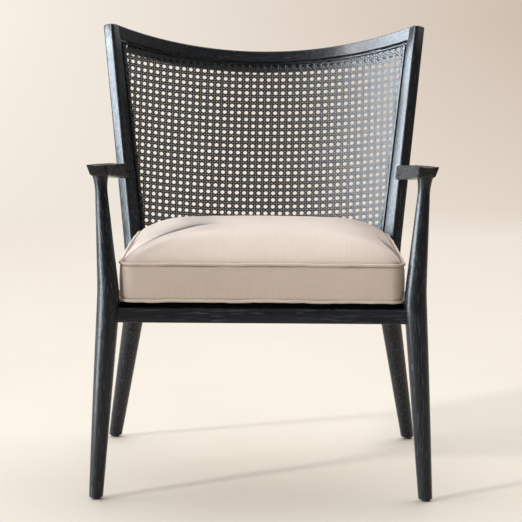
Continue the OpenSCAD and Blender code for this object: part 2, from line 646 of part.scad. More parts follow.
// Crowned section of the bead: [offset, depth] pairs
bead_pts = [[-bead_w / 2, cane_depth], [-bead_w / 2, cane_depth - bead_w * 0.4],
    [-bead_w / 4, cane_depth - bead_w * 0.7], [bead_w / 4, cane_depth - bead_w * 0.7],
    [bead_w / 2, cane_depth - bead_w * 0.4], [bead_w / 2, cane_depth]];
function bead_top(u) = top_low(u) - bead_inset;
bead_bottom = post_low_v + bead_inset;
bead_low_v = bead_bottom + bead_w / 2 + 0.2;
bead_high_v = bead_top(inner_u(top_rail_v, bead_inset + bead_w)) - bead_w / 2 - 0.2;
module spline_side() skin([for (i = [0 : 8]) let (v = mix(bead_low_v, bead_high_v, i / 8))
    [for (p = bead_pts) on_back(inner_u(v, bead_inset) + p.x, v, p.y)]]);
module spline_right() { color(wood) chair() spline_side(); }
module spline_left() { color(wood) chair() mirror([1, 0, 0]) spline_side(); }
module spline_top() { color(wood) chair()
    skin([for (u = across(inner_u(top_rail_v - top_rail_h, bead_inset)))
        [for (p = bead_pts) on_back(u, bead_top(u) - p.x, p.y)]]);
}
module spline_bottom() { color(wood) chair()
    skin([for (u = across(inner_u(post_low_v, bead_inset)))
        [for (p = bead_pts) on_back(u, bead_bottom - p.x, p.y)]]);
}

// The cane: straight upright strands in front, and strands across behind them that follow the curve
cane_edge = 2;
strand_gap = 0.1;
strand_t = (cane_t - strand_gap) / 2;
upright_w = mesh_across - mesh_hole;
course_h = mesh_up - mesh_hole;
mesh_angle = mesh_across / back_r * 180 / PI;
cane_low = post_low_v + cane_edge;
cane_high = top_low(0) - cane_edge;
// Where the line along a post leaves room for a strand whose outer edge is at u
function side_v(u) = (u + cane_edge - post_gap / 2) / (post_flare / 2);
upright_count = floor((inner_u(cane_high, cane_edge) - upright_w) / mesh_across);
course_count = floor((cane_high - cane_low - course_h) / mesh_up);
module cane_uprights() { color(black) chair() in_back() for (i = [-upright_count : upright_count]) {
    u = abs(i) * mesh_across;
    low = max(cane_low, side_v(u + upright_w / 2));
    high = top_low(u - upright_w / 2) - cane_edge;
    rotate([0, 0, -i * mesh_angle]) translate([-upright_w / 2, back_r + cane_depth, low])
        cube([upright_w, strand_t, high - low]);
} }
module cane_courses() { color(black) chair() in_back() for (j = [0 : course_count]) {
    v = mix(cane_low + course_h / 2, cane_high - course_h / 2, j / course_count);
    half = asin(inner_u(v - course_h / 2, cane_edge) / back_r);
    translate([0, 0, v - course_h / 2]) rotate([0, 0, 90 - half])
        rotate_extrude(angle = 2 * half, $fn = 180)
        translate([back_r + cane_depth + cane_t - strand_t, 0]) square([strand_t, course_h]);
} }

// Arm: sections across its length, with a dished top, raked sides and a flat underside
arm_steps = 9;
arm_taper_s = 0.86;
arm_tip_s = 0.97;
arm_taper = 20;
arm_tip_taper = 9;
arm_top_round = 2.4;
arm_low_round = 4;
arm_rear_round = 8;
arm_front = [leg_head.x + arm_outset, arm_front_w / 2];
arm_rear = [post_at_arm.x + arm_rear_outset, arm_rear_w / 2];
function arm_in_x(s) = mix(arm_front.x - arm_front.y, arm_rear.x - arm_rear.y, s / arm_joint_s)
    + arm_tip_taper * ease((s - arm_tip_s) / (1 - arm_tip_s));
function arm_out_x(s) = mix(arm_front.x + arm_front.y, arm_rear.x + arm_rear.y, s / arm_joint_s)
    + arm_swell * sin(180 * min(1, s / arm_joint_s))
    - arm_taper * ease((s - arm_taper_s) / (1 - arm_taper_s));
arm_corner_steps = 3;
arm_top_steps = 6;
function arm_corner(x, z, r, from) = [for (i = [0 : arm_corner_steps])
    let (a = from - 90 * i / arm_corner_steps) [x + r * cos(a), z + r * sin(a)]];
// Section before it is raked: across and up, with the top at 0
function arm_section(w, h, r_top, r_low) = concat(
    arm_corner(r_top - w / 2, -r_top, r_top, 180),
    [for (i = [1 : arm_top_steps - 1]) [mix(r_top - w / 2, w / 2 - r_top, i / arm_top_steps), 0]],
    arm_corner(w / 2 - r_top, -r_top, r_top, 90),
    arm_corner(w / 2 - r_low, r_low - h, r_low, 0),
    arm_corner(r_low - w / 2, r_low - h, r_low, -90));
function arm_ring(s, inset = 0) =
    let (w = arm_out_x(s) - arm_in_x(s), h = arm_h(s), mid = (arm_out_x(s) + arm_in_x(s)) / 2,
         round_share = ease((s - arm_taper_s) / (1 - arm_taper_s)),
         section = arm_section(w - 2 * inset, h - 2 * inset, mix(arm_top_round, arm_rear_round, round_share),
             mix(arm_low_round, arm_rear_round, round_share)))
    [for (p = section) let (low = (inset - p.y) / h, across = 2 * p.x / w)
        [mid + p.x - arm_rake * low - arm_draw / 2 * across * low, arm_y(s),
         arm_top_z(s) - inset + p.y - arm_dish * (1 - across * across) * (1 - low)]];
arm_edge = 1.5;
arm_edge_s = arm_edge / 2 / (arm_y(1) - arm_y(0));
arm_rings = concat([arm_ring(0, arm_edge)],
    [for (i = [0 : arm_steps]) arm_ring(mix(arm_edge_s, arm_taper_s, i / arm_steps))],
    [for (s = [0.93, arm_tip_s, 1]) arm_ring(s)]);
module arm_form() skin(arm_rings);
module arm_head_form() skin([for (k = [0 : 3]) arm_rings[k]]);
module arm() difference() {
    arm_form();
    post_arm_form();
    translate([leg_head.x, leg_head.y, leg_head_z - tenon_root])
        cylinder(d = leg_tenon_d + 2 * bore_room, h = tenon_root + leg_tenon_l + 5 * bore_room);
    arm_dowel_set(bore_room);
}
module arm_right() { color(wood) chair() arm(); }
module arm_left() { color(wood) chair() mirror([1, 0, 0]) arm(); }

module glide_front_right() { color(black) chair() glide(leg_foot); }
module glide_front_left() { color(black) chair() mirror([1, 0, 0]) glide(leg_foot); }
module glide_rear_right() { color(black) chair() glide(foot_rear); }
module glide_rear_left() { color(black) chair() mirror([1, 0, 0]) glide(foot_rear); }
module glide_nails() { color(steel) chair() right_and_left() { nail(leg_foot); nail(foot_rear); } }

// Cushion outline: straight front and sides, and a back that follows the curve of the chair
cushion_low_z = cloth_top_z + fit_gap;
low_seam_z = cushion_low_z + low_seam_h;
top_seam_z = low_seam_z + boxing_h;
cushion_back_y = on_back(0, post_low_v - low_rail_h).y - cushion_back_gap;
cushion_back_r = back_r;
cushion_back_axis = cushion_back_y - cushion_back_r;
front_corner_r = 28;
rear_corner_r = 22;
welt_reach = welt_d * 0.4;
seam_inset = welt_d * 0.67;
low_leg = leg_centre(low_seam_z);
corner_to_leg = leg_d(low_seam_z) / 2 + cushion_leg_gap + welt_reach + front_corner_r;
corner_dy = low_leg.y - cushion_front_y - front_corner_r;
front_half = low_leg.x - sqrt(pow(corner_to_leg, 2) - pow(corner_dy, 2)) + front_corner_r;
post_round = rear_radii(low_seam_z)[0];
post_half_x = (rear_w(low_seam_z) / 2 - post_round) * cos(post_angle(post_low_v))
    + (rear_d(low_seam_z) / 2 - post_round) * sin(post_angle(post_low_v)) + post_round;
rear_half = rear_centre(low_seam_z).x - post_half_x - cushion_post_gap - welt_reach;
function up_share(z) = max(0, min(1, (z - low_seam_z) / boxing_h));
function rear_corner_a(z) = asin((rear_half + cushion_spread * up_share(z) - rear_corner_r)
    / (cushion_back_r - rear_corner_r));
function rear_corner_at(z) = [(cushion_back_r - rear_corner_r) * sin(rear_corner_a(z)),
    cushion_back_axis + (cushion_back_r - rear_corner_r) * cos(rear_corner_a(z))];
front_corner_at = [front_half - front_corner_r, cushion_front_y + front_corner_r];
function corner_arc(c, r, a0, a1, n) = [for (i = [0 : n])
    let (a = mix(a0, a1, i / n)) c + r * [cos(a), sin(a)]];
function cushion_right(k, z) = concat(
    [for (i = [1 : 2 * k]) [mix(0, front_corner_at.x, i / (2 * k + 1)), cushion_front_y]],
    corner_arc(front_corner_at, front_corner_r, -90, 0, k + 1),
    [for (i = [1 : 2 * k]) let (t = i / (2 * k + 1)) mix(front_corner_at + [front_corner_r, 0],
        rear_corner_at(z) + [rear_corner_r, 0], t) + [cushion_bow * sin(180 * t), 0]],
    corner_arc(rear_corner_at(z), rear_corner_r, 0, 90 - rear_corner_a(z), k),
    [for (i = [1 : 2 * k]) let (a = rear_corner_a(z) * (1 - i / (2 * k + 1)))
        [cushion_back_r * sin(a), cushion_back_axis + cushion_back_r * cos(a)]]);
function mirrored(pts) = [for (i = [len(pts) - 1 : -1 : 0]) [-pts[i].x, pts[i].y]];
function cushion_outline(k, z) = concat([[0, cushion_front_y]], cushion_right(k, z), [[0, cushion_back_y]],
    mirrored(cushion_right(k, z)));
outline_steps = 3;
inner_steps = 1;
cushion_mid = [0, (cushion_front_y + cushion_back_y) / 2];
// How far a place of the upper seam is raised: most at the rear corners
cushion_side_l = rear_corner_at(top_seam_z).y - cushion_front_y;
function seam_lift(p) = seam_rise * ease((p.y - cushion_front_y) / cushion_side_l)
    * pow(min(1, abs(p.x) / rear_half), 2);
// A ring at height z, drawn in by inset from the outline and raised by a share of the seam's lift
function cushion_ring(k, z, inset, share = 0) = [for (p = cushion_outline(k, z))
    let (q = cushion_mid + (p - cushion_mid) * (1 - inset / front_half))
    [q.x, q.y, z + share * seam_lift(p)]];
// Crown height at a share t of the way in from the seam to the middle
crown_power = 0.62;
function crown(t) = top_seam_z + crown_h * pow(1 - pow(1 - t, 3), crown_power);
underside = [[0.75, 0], [0.35, 0], [0.08, 0.12], [0.03, 0.45]];
crown_ts = [0.03, 0.08, 0.16, 0.27, 0.42, 0.62, 0.85];
module cushion_form(k, inset = 0, ts = crown_ts) skin(concat(
    [for (p = underside)
        cushion_ring(k, cushion_low_z + inset + low_seam_h * p.y, inset + p.x * front_half)],
    [cushion_ring(k, max(low_seam_z, cushion_low_z + inset + low_seam_h * 0.6), inset + seam_inset),
     cushion_ring(k, mix(low_seam_z, top_seam_z, 0.2), inset - boxing_bulge * 0.6, 0.2),
     cushion_ring(k, mix(low_seam_z, top_seam_z, 0.5), inset - boxing_bulge, 0.5),
     cushion_ring(k, mix(low_seam_z, top_seam_z, 0.8), inset - boxing_bulge * 0.6, 0.8),
     cushion_ring(k, top_seam_z - inset * 0.3, inset + seam_inset, 1)],
    [for (t = ts) cushion_ring(k, crown(t) - inset, inset + seam_inset + t * front_half, pow(1 - t, 2))]));
inner_ts = [0.08, 0.27, 0.62];
core_inset = cover_t + wrap_t;
core_top_z = top_seam_z;
core_low_z = cushion_low_z + cover_t + 5;
core_rear_half = rear_half - core_inset;
// The foam's block; open_back lengthens it rearward, which leaves the wrap open behind the foam
module core_form(room = 0, open_back = 0) translate([0, 0, core_low_z - room])
    linear_extrude(core_top_z - core_low_z + 2 * room) {
        polygon([for (p = cushion_ring(2, 0, core_inset - room)) [p.x, p.y]]);
        if (open_back > 0) translate([-core_rear_half, cushion_mid.y])
            square([2 * core_rear_half, open_back]);
    }
zip_half = zip_l / 2 / cushion_back_r * 180 / PI;
zip_z = mix(low_seam_z, top_seam_z, 0.5);
zip_band_h = 12;
// An arc along the cushion's back, from front to back radius, centred on the zip's height
module back_band(front, back, h, half, z = zip_z) translate([0, cushion_back_axis, z - h / 2])
    rotate([0, 0, 90 - half]) rotate_extrude(angle = 2 * half, $fn = 180)
    translate([cushion_back_r + front, 0]) square([back - front, h]);
module cushion_cover() { color(linen) chair() difference() {
    cushion_form(outline_steps);
    cushion_form(inner_steps, cover_t, inner_ts);
    back_band(-cover_t - 4, 6, zip_band_h, zip_half);
} }
module cushion_wrap() { color("white") chair() difference() {
    cushion_form(inner_steps, cover_t + fit_gap, inner_ts);
    core_form(fit_gap, cushion_back_y);
} }
module cushion_core() { color("#e8dfa8") chair() core_form(); }
module welt(z) {
    path = cushion_ring(outline_steps, z, welt_d * 0.1, z == top_seam_z ? 1 : 0);
    n = len(path);
    m = 6;
    size = n * m;
    pts = [for (i = [0 : n - 1]) let (ahead = path[(i + 1) % n], behind = path[(i + n - 1) % n],
        d = (ahead - behind) / norm(ahead - behind), out = [d.y, -d.x, 0]) for (j = [0 : m - 1])
        path[i] + welt_d / 2 * (cos(360 * j / m) * out + [0, 0, sin(360 * j / m)])];
    faces = [for (i = [0 : n - 1]) for (j = [0 : m - 1])
        let (a = i * m + j, b = i * m + (j + 1) % m, c = (a + m) % size, d = (b + m) % size)
        each [[a, b, d], [a, d, c]]];
    polyhedron(points = pts, faces = faces);
}
module welt_top() { color(linen) chair() welt(top_seam_z); }
module welt_bottom() { color(linen) chair() welt(low_seam_z); }

// Zip: two rows of closed teeth on the cover's back, and a slider that runs along them
tooth_h = 5;
tooth_out = 0.6;
slider_w = 9;
slider_l = 11;
slider_t = 1.6;
slider_in = tooth_out + fit_gap;
tab_w = 4;
tab_t = 1.2;
tab_l = 15;
tape_t = 1.4;
teeth = 80;
tape_half = zip_half - 0.05;
tooth_gap_w = 1;
module zip_chain() { color(black) chair() difference() {
    union() {
        back_band(-tape_t, -tape_t / 2, zip_band_h - 2 * bore_room, tape_half);
        back_band(-tape_t, tooth_out, tooth_h, tape_half);
    }
    for (i = [1 : teeth - 1]) translate([0, cushion_back_axis, zip_z])
        rotate([0, 0, (2 * i / teeth - 1) * tape_half])
        translate([-tooth_gap_w / 2, cushion_back_r - 0.4, -tooth_h / 2 - 1])
        cube([tooth_gap_w, 2, tooth_h + 2]);
} }
slider_half = slider_l / 2 / cushion_back_r * 180 / PI;
slider_rest = zip_half - slider_half;
module zip_slider() { color(steel) chair() translate([0, cushion_back_axis, 0]) rotate([0, 0, -slider_rest])
    translate([0, -cushion_back_axis, 0]) {
        back_band(slider_in, slider_in + slider_t, slider_w, slider_half);
        translate([-tab_w / 2, cushion_back_y + slider_in + slider_t - tab_t / 2, zip_z - tab_l])
            cube([tab_w, tab_t, tab_l + tab_w / 2]);
    }
}

front_leg_left();
front_leg_right();
back_post_left();
back_post_right();
front_rail();
rear_rail();
side_rail_left();
side_rail_right();
top_rail();
lower_back_rail();
arm_left();
arm_right();
cane_uprights();
cane_courses();
cane_stile_left();
cane_stile_right();
cane_head();
cane_sill();
spline_left();
spline_right();
spline_top();
spline_bottom();
corner_block_front_left();
corner_block_front_right();
corner_block_rear_left();
corner_block_rear_right();
corner_block_screws();
seat_panel();
deck_pad();
deck_cover();
deck_screws();
deck_staples();
rail_dowels();
back_rail_dowels();
arm_dowels();
glide_front_left();
glide_front_right();
glide_rear_left();
glide_rear_right();
glide_nails();
cushion_core();
cushion_wrap();
cushion_cover();
welt_top();
welt_bottom();
zip_chain();
zip_slider();
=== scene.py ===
"""Finish, cane, cushion and studio for a low armchair with a curved cane back. Lengths are in metres."""
import math
import bmesh
import bpy
import numpy as np
from mathutils import Matrix, Vector
from mathutils.kdtree import KDTree


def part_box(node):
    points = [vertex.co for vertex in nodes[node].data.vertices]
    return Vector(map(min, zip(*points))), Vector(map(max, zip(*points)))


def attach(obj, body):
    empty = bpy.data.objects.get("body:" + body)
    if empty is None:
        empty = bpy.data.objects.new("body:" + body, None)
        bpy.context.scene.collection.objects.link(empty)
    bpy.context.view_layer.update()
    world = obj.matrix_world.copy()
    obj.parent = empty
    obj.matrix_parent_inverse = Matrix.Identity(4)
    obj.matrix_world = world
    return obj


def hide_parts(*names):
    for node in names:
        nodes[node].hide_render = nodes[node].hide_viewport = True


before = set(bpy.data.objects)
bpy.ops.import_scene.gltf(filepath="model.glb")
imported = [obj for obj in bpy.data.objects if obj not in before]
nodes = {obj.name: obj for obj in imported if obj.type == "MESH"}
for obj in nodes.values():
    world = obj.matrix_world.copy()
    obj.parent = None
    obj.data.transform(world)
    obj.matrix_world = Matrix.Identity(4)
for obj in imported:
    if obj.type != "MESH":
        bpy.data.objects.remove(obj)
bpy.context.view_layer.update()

scene = bpy.context.scene

# The chair's own measurements, from the construction. FRONT is where the front feet stand.
FRONT = -0.328943
BACK_R, BACK_LEAN = 0.4344, math.radians(16.3)
BACK_Y, BACK_Z = FRONT + 0.6, 0.673
OPENING_HALF, OPENING_FLARE = 0.286, 0.1155
OPENING_LOW, OPENING_TOP, TOP_RISE, TOP_HALF = -0.24, 0.158, 0.018, 0.307021
BEAD_INSET = 0.0046
SEAM_LOW, SEAM_TOP, CUSHION_LOW = 0.3916, 0.4636, 0.3856
CROWN, CROWN_POWER = 0.054, 0.62
CUSHION_FRONT, CUSHION_AXIS = FRONT + 0.008, FRONT + 0.0813813
HALF_FRONT, HALF_REAR, SPREAD, BOW = 0.276778, 0.244163, 0.020, 0.0025
SIDE_LENGTH, SEAM_RISE = 0.407194, 0.008
FRONT_CORNER, REAR_CORNER = 0.028, 0.022
WELT = 0.0064
PULL_IN = 0.003
ZIP_Z, ZIP_HALF_TURN, ZIP_SLOT_HALF, ZIP_DEPTH = 0.4276, math.radians(21.1), 0.0056, 0.0022


# Mesh making
def mesh_piece(name, points, quads, material, uv=None):
    """A mesh object from arrays of points and four-sided faces."""
    mesh = bpy.data.meshes.new(name)
    quads = np.asarray(quads, np.int32)
    mesh.vertices.add(len(points))
    mesh.vertices.foreach_set("co", np.asarray(points, np.float32).ravel())
    mesh.loops.add(quads.size)
    mesh.loops.foreach_set("vertex_index", quads.ravel())
    mesh.polygons.add(len(quads))
    mesh.polygons.foreach_set("loop_start", np.arange(0, quads.size, 4, dtype=np.int32))
    mesh.update(calc_edges=True)
    mesh.shade_smooth()
    if uv is not None:
        layer = mesh.uv_layers.new(name="along_strand")
        layer.data.foreach_set("uv", np.asarray(uv, np.float32)[quads.ravel()].ravel())
    mesh.materials.append(material)
    made = bpy.data.objects.new(name, mesh)
    scene.collection.objects.link(made)
    return made


def ring_quads(rings, size, first=0, closed=False):
    """Faces between rings of equal size that lie one after another from point first."""
    r = np.arange(rings if closed else rings - 1)[:, None]
    c = np.arange(size)[None, :]
    n = (r + 1) % rings
    d = (c + 1) % size
    return (first + np.stack([r * size + c, r * size + d, n * size + d, n * size + c], -1)).reshape(-1, 4)


def unit(v):
    return v / np.maximum(np.linalg.norm(v, axis=-1, keepdims=True), 1e-12)


def run_along(path):
    """Distance along a path from its first point to each point."""
    return np.concatenate([[0], np.cumsum(np.linalg.norm(np.diff(path, axis=0), axis=1))])


def smooth_step(t):
    t = np.clip(t, 0, 1)
    return t * t * (3 - 2 * t)


def waves(x, *terms):
    """Sum of sine waves, each given as (height, length, shift)."""
    return sum(h * np.sin(2 * math.pi * (x / length + shift)) for h, length, shift in terms)


# Node making
def put(tree, kind, inputs=None, **settings):
    """Adds a shader node; inputs holds values or the sockets that feed them."""
    made = tree.nodes.new(kind)
    for name, value in settings.items():
        setattr(made, name, value)
    for name, value in (inputs or {}).items():
        if isinstance(value, bpy.types.NodeSocket):
            tree.links.new(value, made.inputs[name])
        else:
            made.inputs[name].default_value = value
    return made


def maths(tree, operation, a, b=0.0, c=0.0):
    return put(tree, "ShaderNodeMath", {0: a, 1: b, 2: c}, operation=operation).outputs[0]


def vector_maths(tree, operation, a, b=(0, 0, 0)):
    return put(tree, "ShaderNodeVectorMath", {0: a, 1: b}, operation=operation).outputs[0]


def noise(tree, where, scale, detail=2.0, roughness=0.5, distortion=0.0):
    return put(tree, "ShaderNodeTexNoise", {"Vector": where, "Scale": scale, "Detail": detail,
               "Roughness": roughness, "Distortion": distortion}).outputs["Fac"]


def ranged(tree, value, low, high, to_low=0.0, to_high=1.0):
    return put(tree, "ShaderNodeMapRange", {"Value": value, "From Min": low, "From Max": high,
               "To Min": to_low, "To Max": to_high}, clamp=True).outputs["Result"]


def blend_colour(tree, share, a, b):
    made = put(tree, "ShaderNodeMix", data_type="RGBA")
    for index, value in ((0, share), (6, a), (7, b)):
        if isinstance(value, bpy.types.NodeSocket):
            tree.links.new(value, made.inputs[index])
        else:
            made.inputs[index].default_value = value if index == 0 else (*value, 1.0)
    return made.outputs[2]


def effect(name, inputs, outputs):
    """A node group: inputs are (name, kind, value), outputs (name, kind). Returns it with both end nodes."""
    tree = bpy.data.node_groups.new(name, "ShaderNodeTree")
    for label, kind, value in inputs:
        socket = tree.interface.new_socket(label, in_out="INPUT", socket_type="NodeSocket" + kind)
        if value is not None:
            socket.default_value = value
    for label, kind in outputs:
        tree.interface.new_socket(label, in_out="OUTPUT", socket_type="NodeSocket" + kind)
    return tree, tree.nodes.new("NodeGroupInput").outputs, tree.nodes.new("NodeGroupOutput").inputs


def place_group(tree, group, inputs):
    made = tree.nodes.new("ShaderNodeGroup")
    made.node_tree = group
    for name, value in inputs.items():
        if isinstance(value, bpy.types.NodeSocket):
            tree.links.new(value, made.inputs[name])
        else:
            made.inputs[name].default_value = value
    return made.outputs


# Effects that several finishes share
def open_grain_effect():
    tree, given, result = effect("open_grain", [("Position", "Vector", None), ("Stretch", "Vector", (900, 900, 60))],
                                 [("Figure", "Float"), ("Flecks", "Float"), ("Height", "Float")])
    laid = vector_maths(tree, "MULTIPLY", given["Position"], given["Stretch"])
    pores = noise(tree, laid, 1.0, 2.0)
    broad = noise(tree, vector_maths(tree, "MULTIPLY", laid, (0.09, 0.09, 0.09)), 1.0, 3.0, 0.55, 0.5)
    fleck = noise(tree, vector_maths(tree, "MULTIPLY", laid, (0.45, 0.45, 0.45)), 1.0, 1.0, 0.4)
    hollow = ranged(tree, pores, 0.56, 0.68)
    tree.links.new(broad, result["Figure"])
    tree.links.new(ranged(tree, fleck, 0.60, 0.72), result["Flecks"])
    tree.links.new(maths(tree, "SUBTRACT", maths(tree, "MULTIPLY", broad, 0.35), hollow), result["Height"])
    return tree


def plain_weave_effect():
    """Threads over and under in two directions, laid by the way the cloth faces, with thicker slubs."""
    tree, given, result = effect("plain_weave", [("Position", "Vector", None), ("Facing", "Vector", None),
                                                 ("Thread", "Float", 0.0008)],
                                 [("Threads", "Float"), ("Slubs", "Float"), ("Height", "Float")])
    facing = put(tree, "ShaderNodeSeparateXYZ", {0: vector_maths(tree, "ABSOLUTE", given["Facing"])}).outputs
    place = put(tree, "ShaderNodeSeparateXYZ", {0: given["Position"]}).outputs
    side_on = maths(tree, "GREATER_THAN", facing["X"], maths(tree, "MAXIMUM", facing["Y"], facing["Z"]))
    level = maths(tree, "GREATER_THAN", facing["Z"], maths(tree, "MAXIMUM", facing["X"], facing["Y"]))

    def chosen(share, a, b):
        return maths(tree, "MULTIPLY_ADD", maths(tree, "SUBTRACT", b, a), share, a)

    across = chosen(side_on, place["X"], place["Y"])
    up = chosen(level, place["Z"], place["Y"])
    warp = maths(tree, "DIVIDE", across, given["Thread"])
    weft = maths(tree, "DIVIDE", up, given["Thread"])
    over = maths(tree, "ABSOLUTE", maths(tree, "SINE", maths(tree, "MULTIPLY", warp, math.pi)))
    under = maths(tree, "ABSOLUTE", maths(tree, "SINE", maths(tree, "MULTIPLY", weft, math.pi)))
    cell = maths(tree, "ADD", maths(tree, "FLOOR", warp), maths(tree, "FLOOR", weft))
    odd = maths(tree, "GREATER_THAN", maths(tree, "FLOORED_MODULO", cell, 2.0), 0.5)
    height = chosen(odd, over, under)
    laid = put(tree, "ShaderNodeCombineXYZ", {0: across, 1: up}).outputs[0]
    slub_up = noise(tree, vector_maths(tree, "MULTIPLY", laid, (420, 16, 1)), 1.0, 1.0)
    slub_across = noise(tree, vector_maths(tree, "MULTIPLY", laid, (16, 420, 1)), 1.0, 1.0)
    slubs = maths(tree, "MULTIPLY", maths(tree, "ADD", slub_up, slub_across), 0.5)
    tree.links.new(height, result["Threads"])
    tree.links.new(slubs, result["Slubs"])
    tree.links.new(maths(tree, "MULTIPLY_ADD", slubs, 0.8, height), result["Height"])
    return tree


def mottle_effect():
    """Soft patches, for tone and gloss that vary as they do on a real surface."""
    tree, given, result = effect("mottle", [("Position", "Vector", None), ("Scale", "Float", 20.0)],
                                 [("Patches", "Float"), ("Specks", "Float")])
    tree.links.new(noise(tree, given["Position"], given["Scale"], 3.0, 0.6), result["Patches"])
    tree.links.new(noise(tree, given["Position"], maths(tree, "MULTIPLY", given["Scale"], 24.0), 1.0),
                   result["Specks"])
    return tree


OPEN_GRAIN, PLAIN_WEAVE, MOTTLE = open_grain_effect(), plain_weave_effect(), mottle_effect()


def finish_start(name, **constants):
    """A material with one Principled shader, whose constants are set on its own sockets."""
    material = bpy.data.materials.new(name)
    material.use_nodes = True
    tree = material.node_tree
    shader = tree.nodes["Principled BSDF"]
    for label, value in constants.items():
        shader.inputs[label.replace("_", " ")].default_value = value
    place = tree.nodes.new("ShaderNodeTexCoord").outputs
    return material, tree, shader.inputs, place


def bumped(tree, shader, height, depth, strength=1.0):
    bump = put(tree, "ShaderNodeBump", {"Height": height, "Distance": depth, "Strength": strength})
    tree.links.new(bump.outputs[0], shader["Normal"])


# Linear colours of the wood stain: pale blue-grey flecks in the grain as painted sheen in the pores, and the dark and
# light of the stain itself
PORE_SHEEN_FLECK = (0.06, 0.068, 0.08)
BLACK_STAIN = (0.0075, 0.009, 0.0115), (0.016, 0.0185, 0.023)
# A warmer, lighter brown copy of the stain for the arms and side rails: painted reflection of the warm floor and
# backdrop.
BROWN_REFLECTION_STAIN = (0.013, 0.0115, 0.0095), (0.028, 0.024, 0.019)


def ebonised(name, stretch, stain_dark, stain_light):
    """Black-stained open-grain wood under satin lacquer; stretch lays the grain along the piece."""
    material, tree, shader, place = finish_start(name, Coat_Weight=0.04, Coat_Roughness=0.25, IOR=1.5,
                                                 Specular_IOR_Level=0.24)
    grain = place_group(tree, OPEN_GRAIN, {"Position": place["Object"], "Stretch": stretch})
    soft = place_group(tree, MOTTLE, {"Position": place["Object"], "Scale": 14.0})
    stain = blend_colour(tree, ranged(tree, grain["Figure"], 0.35, 0.7), stain_dark, stain_light)
    # Pale blue-grey flecks in the open grain: painted sheen in the pores.
    pore_sheen = blend_colour(tree, maths(tree, "MULTIPLY", grain["Flecks"], 0.55), stain, PORE_SHEEN_FLECK)
    tree.links.new(pore_sheen, shader["Base Color"])
    gloss = maths(tree, "MULTIPLY_ADD", soft["Patches"], 0.10, 0.21)
    tree.links.new(maths(tree, "MULTIPLY_ADD", grain["Flecks"], 0.12, gloss), shader["Roughness"])
    bumped(tree, shader, grain["Height"], 0.00012)
    return material


def stained_cane():
    """Split cane stained black: a hard shiny skin with fine lengthwise lines."""
    material, tree, shader, place = finish_start("stained_cane", Coat_Weight=0.08, Coat_Roughness=0.2, IOR=1.5,
                                                 Specular_IOR_Level=0.45)
    lines = noise(tree, vector_maths(tree, "MULTIPLY", place["UV"], (40, 3000, 1)), 1.0, 1.0)
    soft = place_group(tree, MOTTLE, {"Position": place["Object"], "Scale": 60.0})
    tone = blend_colour(tree, ranged(tree, soft["Patches"], 0.35, 0.7), (0.0075, 0.0085, 0.0105),
                        (0.019, 0.021, 0.025))
    tree.links.new(blend_colour(tree, maths(tree, "MULTIPLY", lines, 0.35), tone, (0.03, 0.032, 0.036)),
                   shader["Base Color"])
    tree.links.new(maths(tree, "MULTIPLY_ADD", soft["Specks"], 0.2, 0.24), shader["Roughness"])
    bumped(tree, shader, lines, 0.00004)
    return material


def linen(name, tone_low, tone_high, thread, depth):
    """Plain-weave linen with slubs, painted shade between the threads, and painted shade along the folds and seams."""
    material, tree, shader, place = finish_start(name, Sheen_Weight=0.25, Sheen_Roughness=0.5, IOR=1.4,
                                                 Specular_IOR_Level=0.25)
    cloth = place_group(tree, PLAIN_WEAVE, {"Position": place["Object"], "Facing": place["Normal"], "Thread": thread})
    soft = place_group(tree, MOTTLE, {"Position": place["Object"], "Scale": 26.0})
    tone = blend_colour(tree, ranged(tree, cloth["Slubs"], 0.4, 0.62), tone_low, tone_high)
    # Darker in the gaps between the threads: painted shade in the weave.
    thread_gap_shade = blend_colour(tree, maths(tree, "MULTIPLY", maths(tree, "SUBTRACT", 1.0, cloth["Threads"]), 0.22), tone,
                        tuple(c * 0.62 for c in tone_low))
    patchy = blend_colour(tree, ranged(tree, soft["Patches"], 0.3, 0.7, 0.0, 0.12), thread_gap_shade,
                          tuple(min(1.0, c * 1.12) for c in tone_high))
    # Darker along the folds and under the front piping, from a per-point attribute: painted shade.
    painted_shade = put(tree, "ShaderNodeAttribute", {}, attribute_name="painted_shade").outputs["Fac"]
    tree.links.new(blend_colour(tree, painted_shade, patchy, tuple(c * k for c, k in zip(tone_low, (0.16, 0.13, 0.11)))),
                   shader["Base Color"])
    tree.links.new(maths(tree, "MULTIPLY_ADD", cloth["Threads"], -0.12, 0.92), shader["Roughness"])
    bumped(tree, shader, cloth["Height"], depth, 0.6)
    return material


def black_cloth():
    """Matt woven cloth over the seat deck."""
    material, tree, shader, place = finish_start("black_deck_cloth", Sheen_Weight=0.04, IOR=1.4,
                                                 Specular_IOR_Level=0.1)
    cloth = place_group(tree, PLAIN_WEAVE, {"Position": place["Object"], "Facing": place["Normal"], "Thread": 0.0011})
    # Darker in the gaps between the threads: painted shade in the weave.
    tree.links.new(blend_colour(tree, cloth["Threads"], (0.004, 0.004, 0.0045), (0.013, 0.013, 0.0145)),
                   shader["Base Color"])
    tree.links.new(maths(tree, "MULTIPLY_ADD", cloth["Slubs"], 0.3, 0.7), shader["Roughness"])
    bumped(tree, shader, cloth["Height"], 0.0002, 0.7)
    return material


def plain_wood(name, tone, dark, stretch):
    """Unstained wood or plywood for what the seat hides."""
    material, tree, shader, place = finish_start(name, IOR=1.45)
    grain = place_group(tree, OPEN_GRAIN, {"Position": place["Object"], "Stretch": stretch})
    stripes = ranged(tree, grain["Figure"], 0.3, 0.72)
    tree.links.new(blend_colour(tree, stripes, dark, tone), shader["Base Color"])
    tree.links.new(maths(tree, "MULTIPLY_ADD", grain["Flecks"], 0.15, 0.6), shader["Roughness"])
    bumped(tree, shader, grain["Height"], 0.0001)
    return material


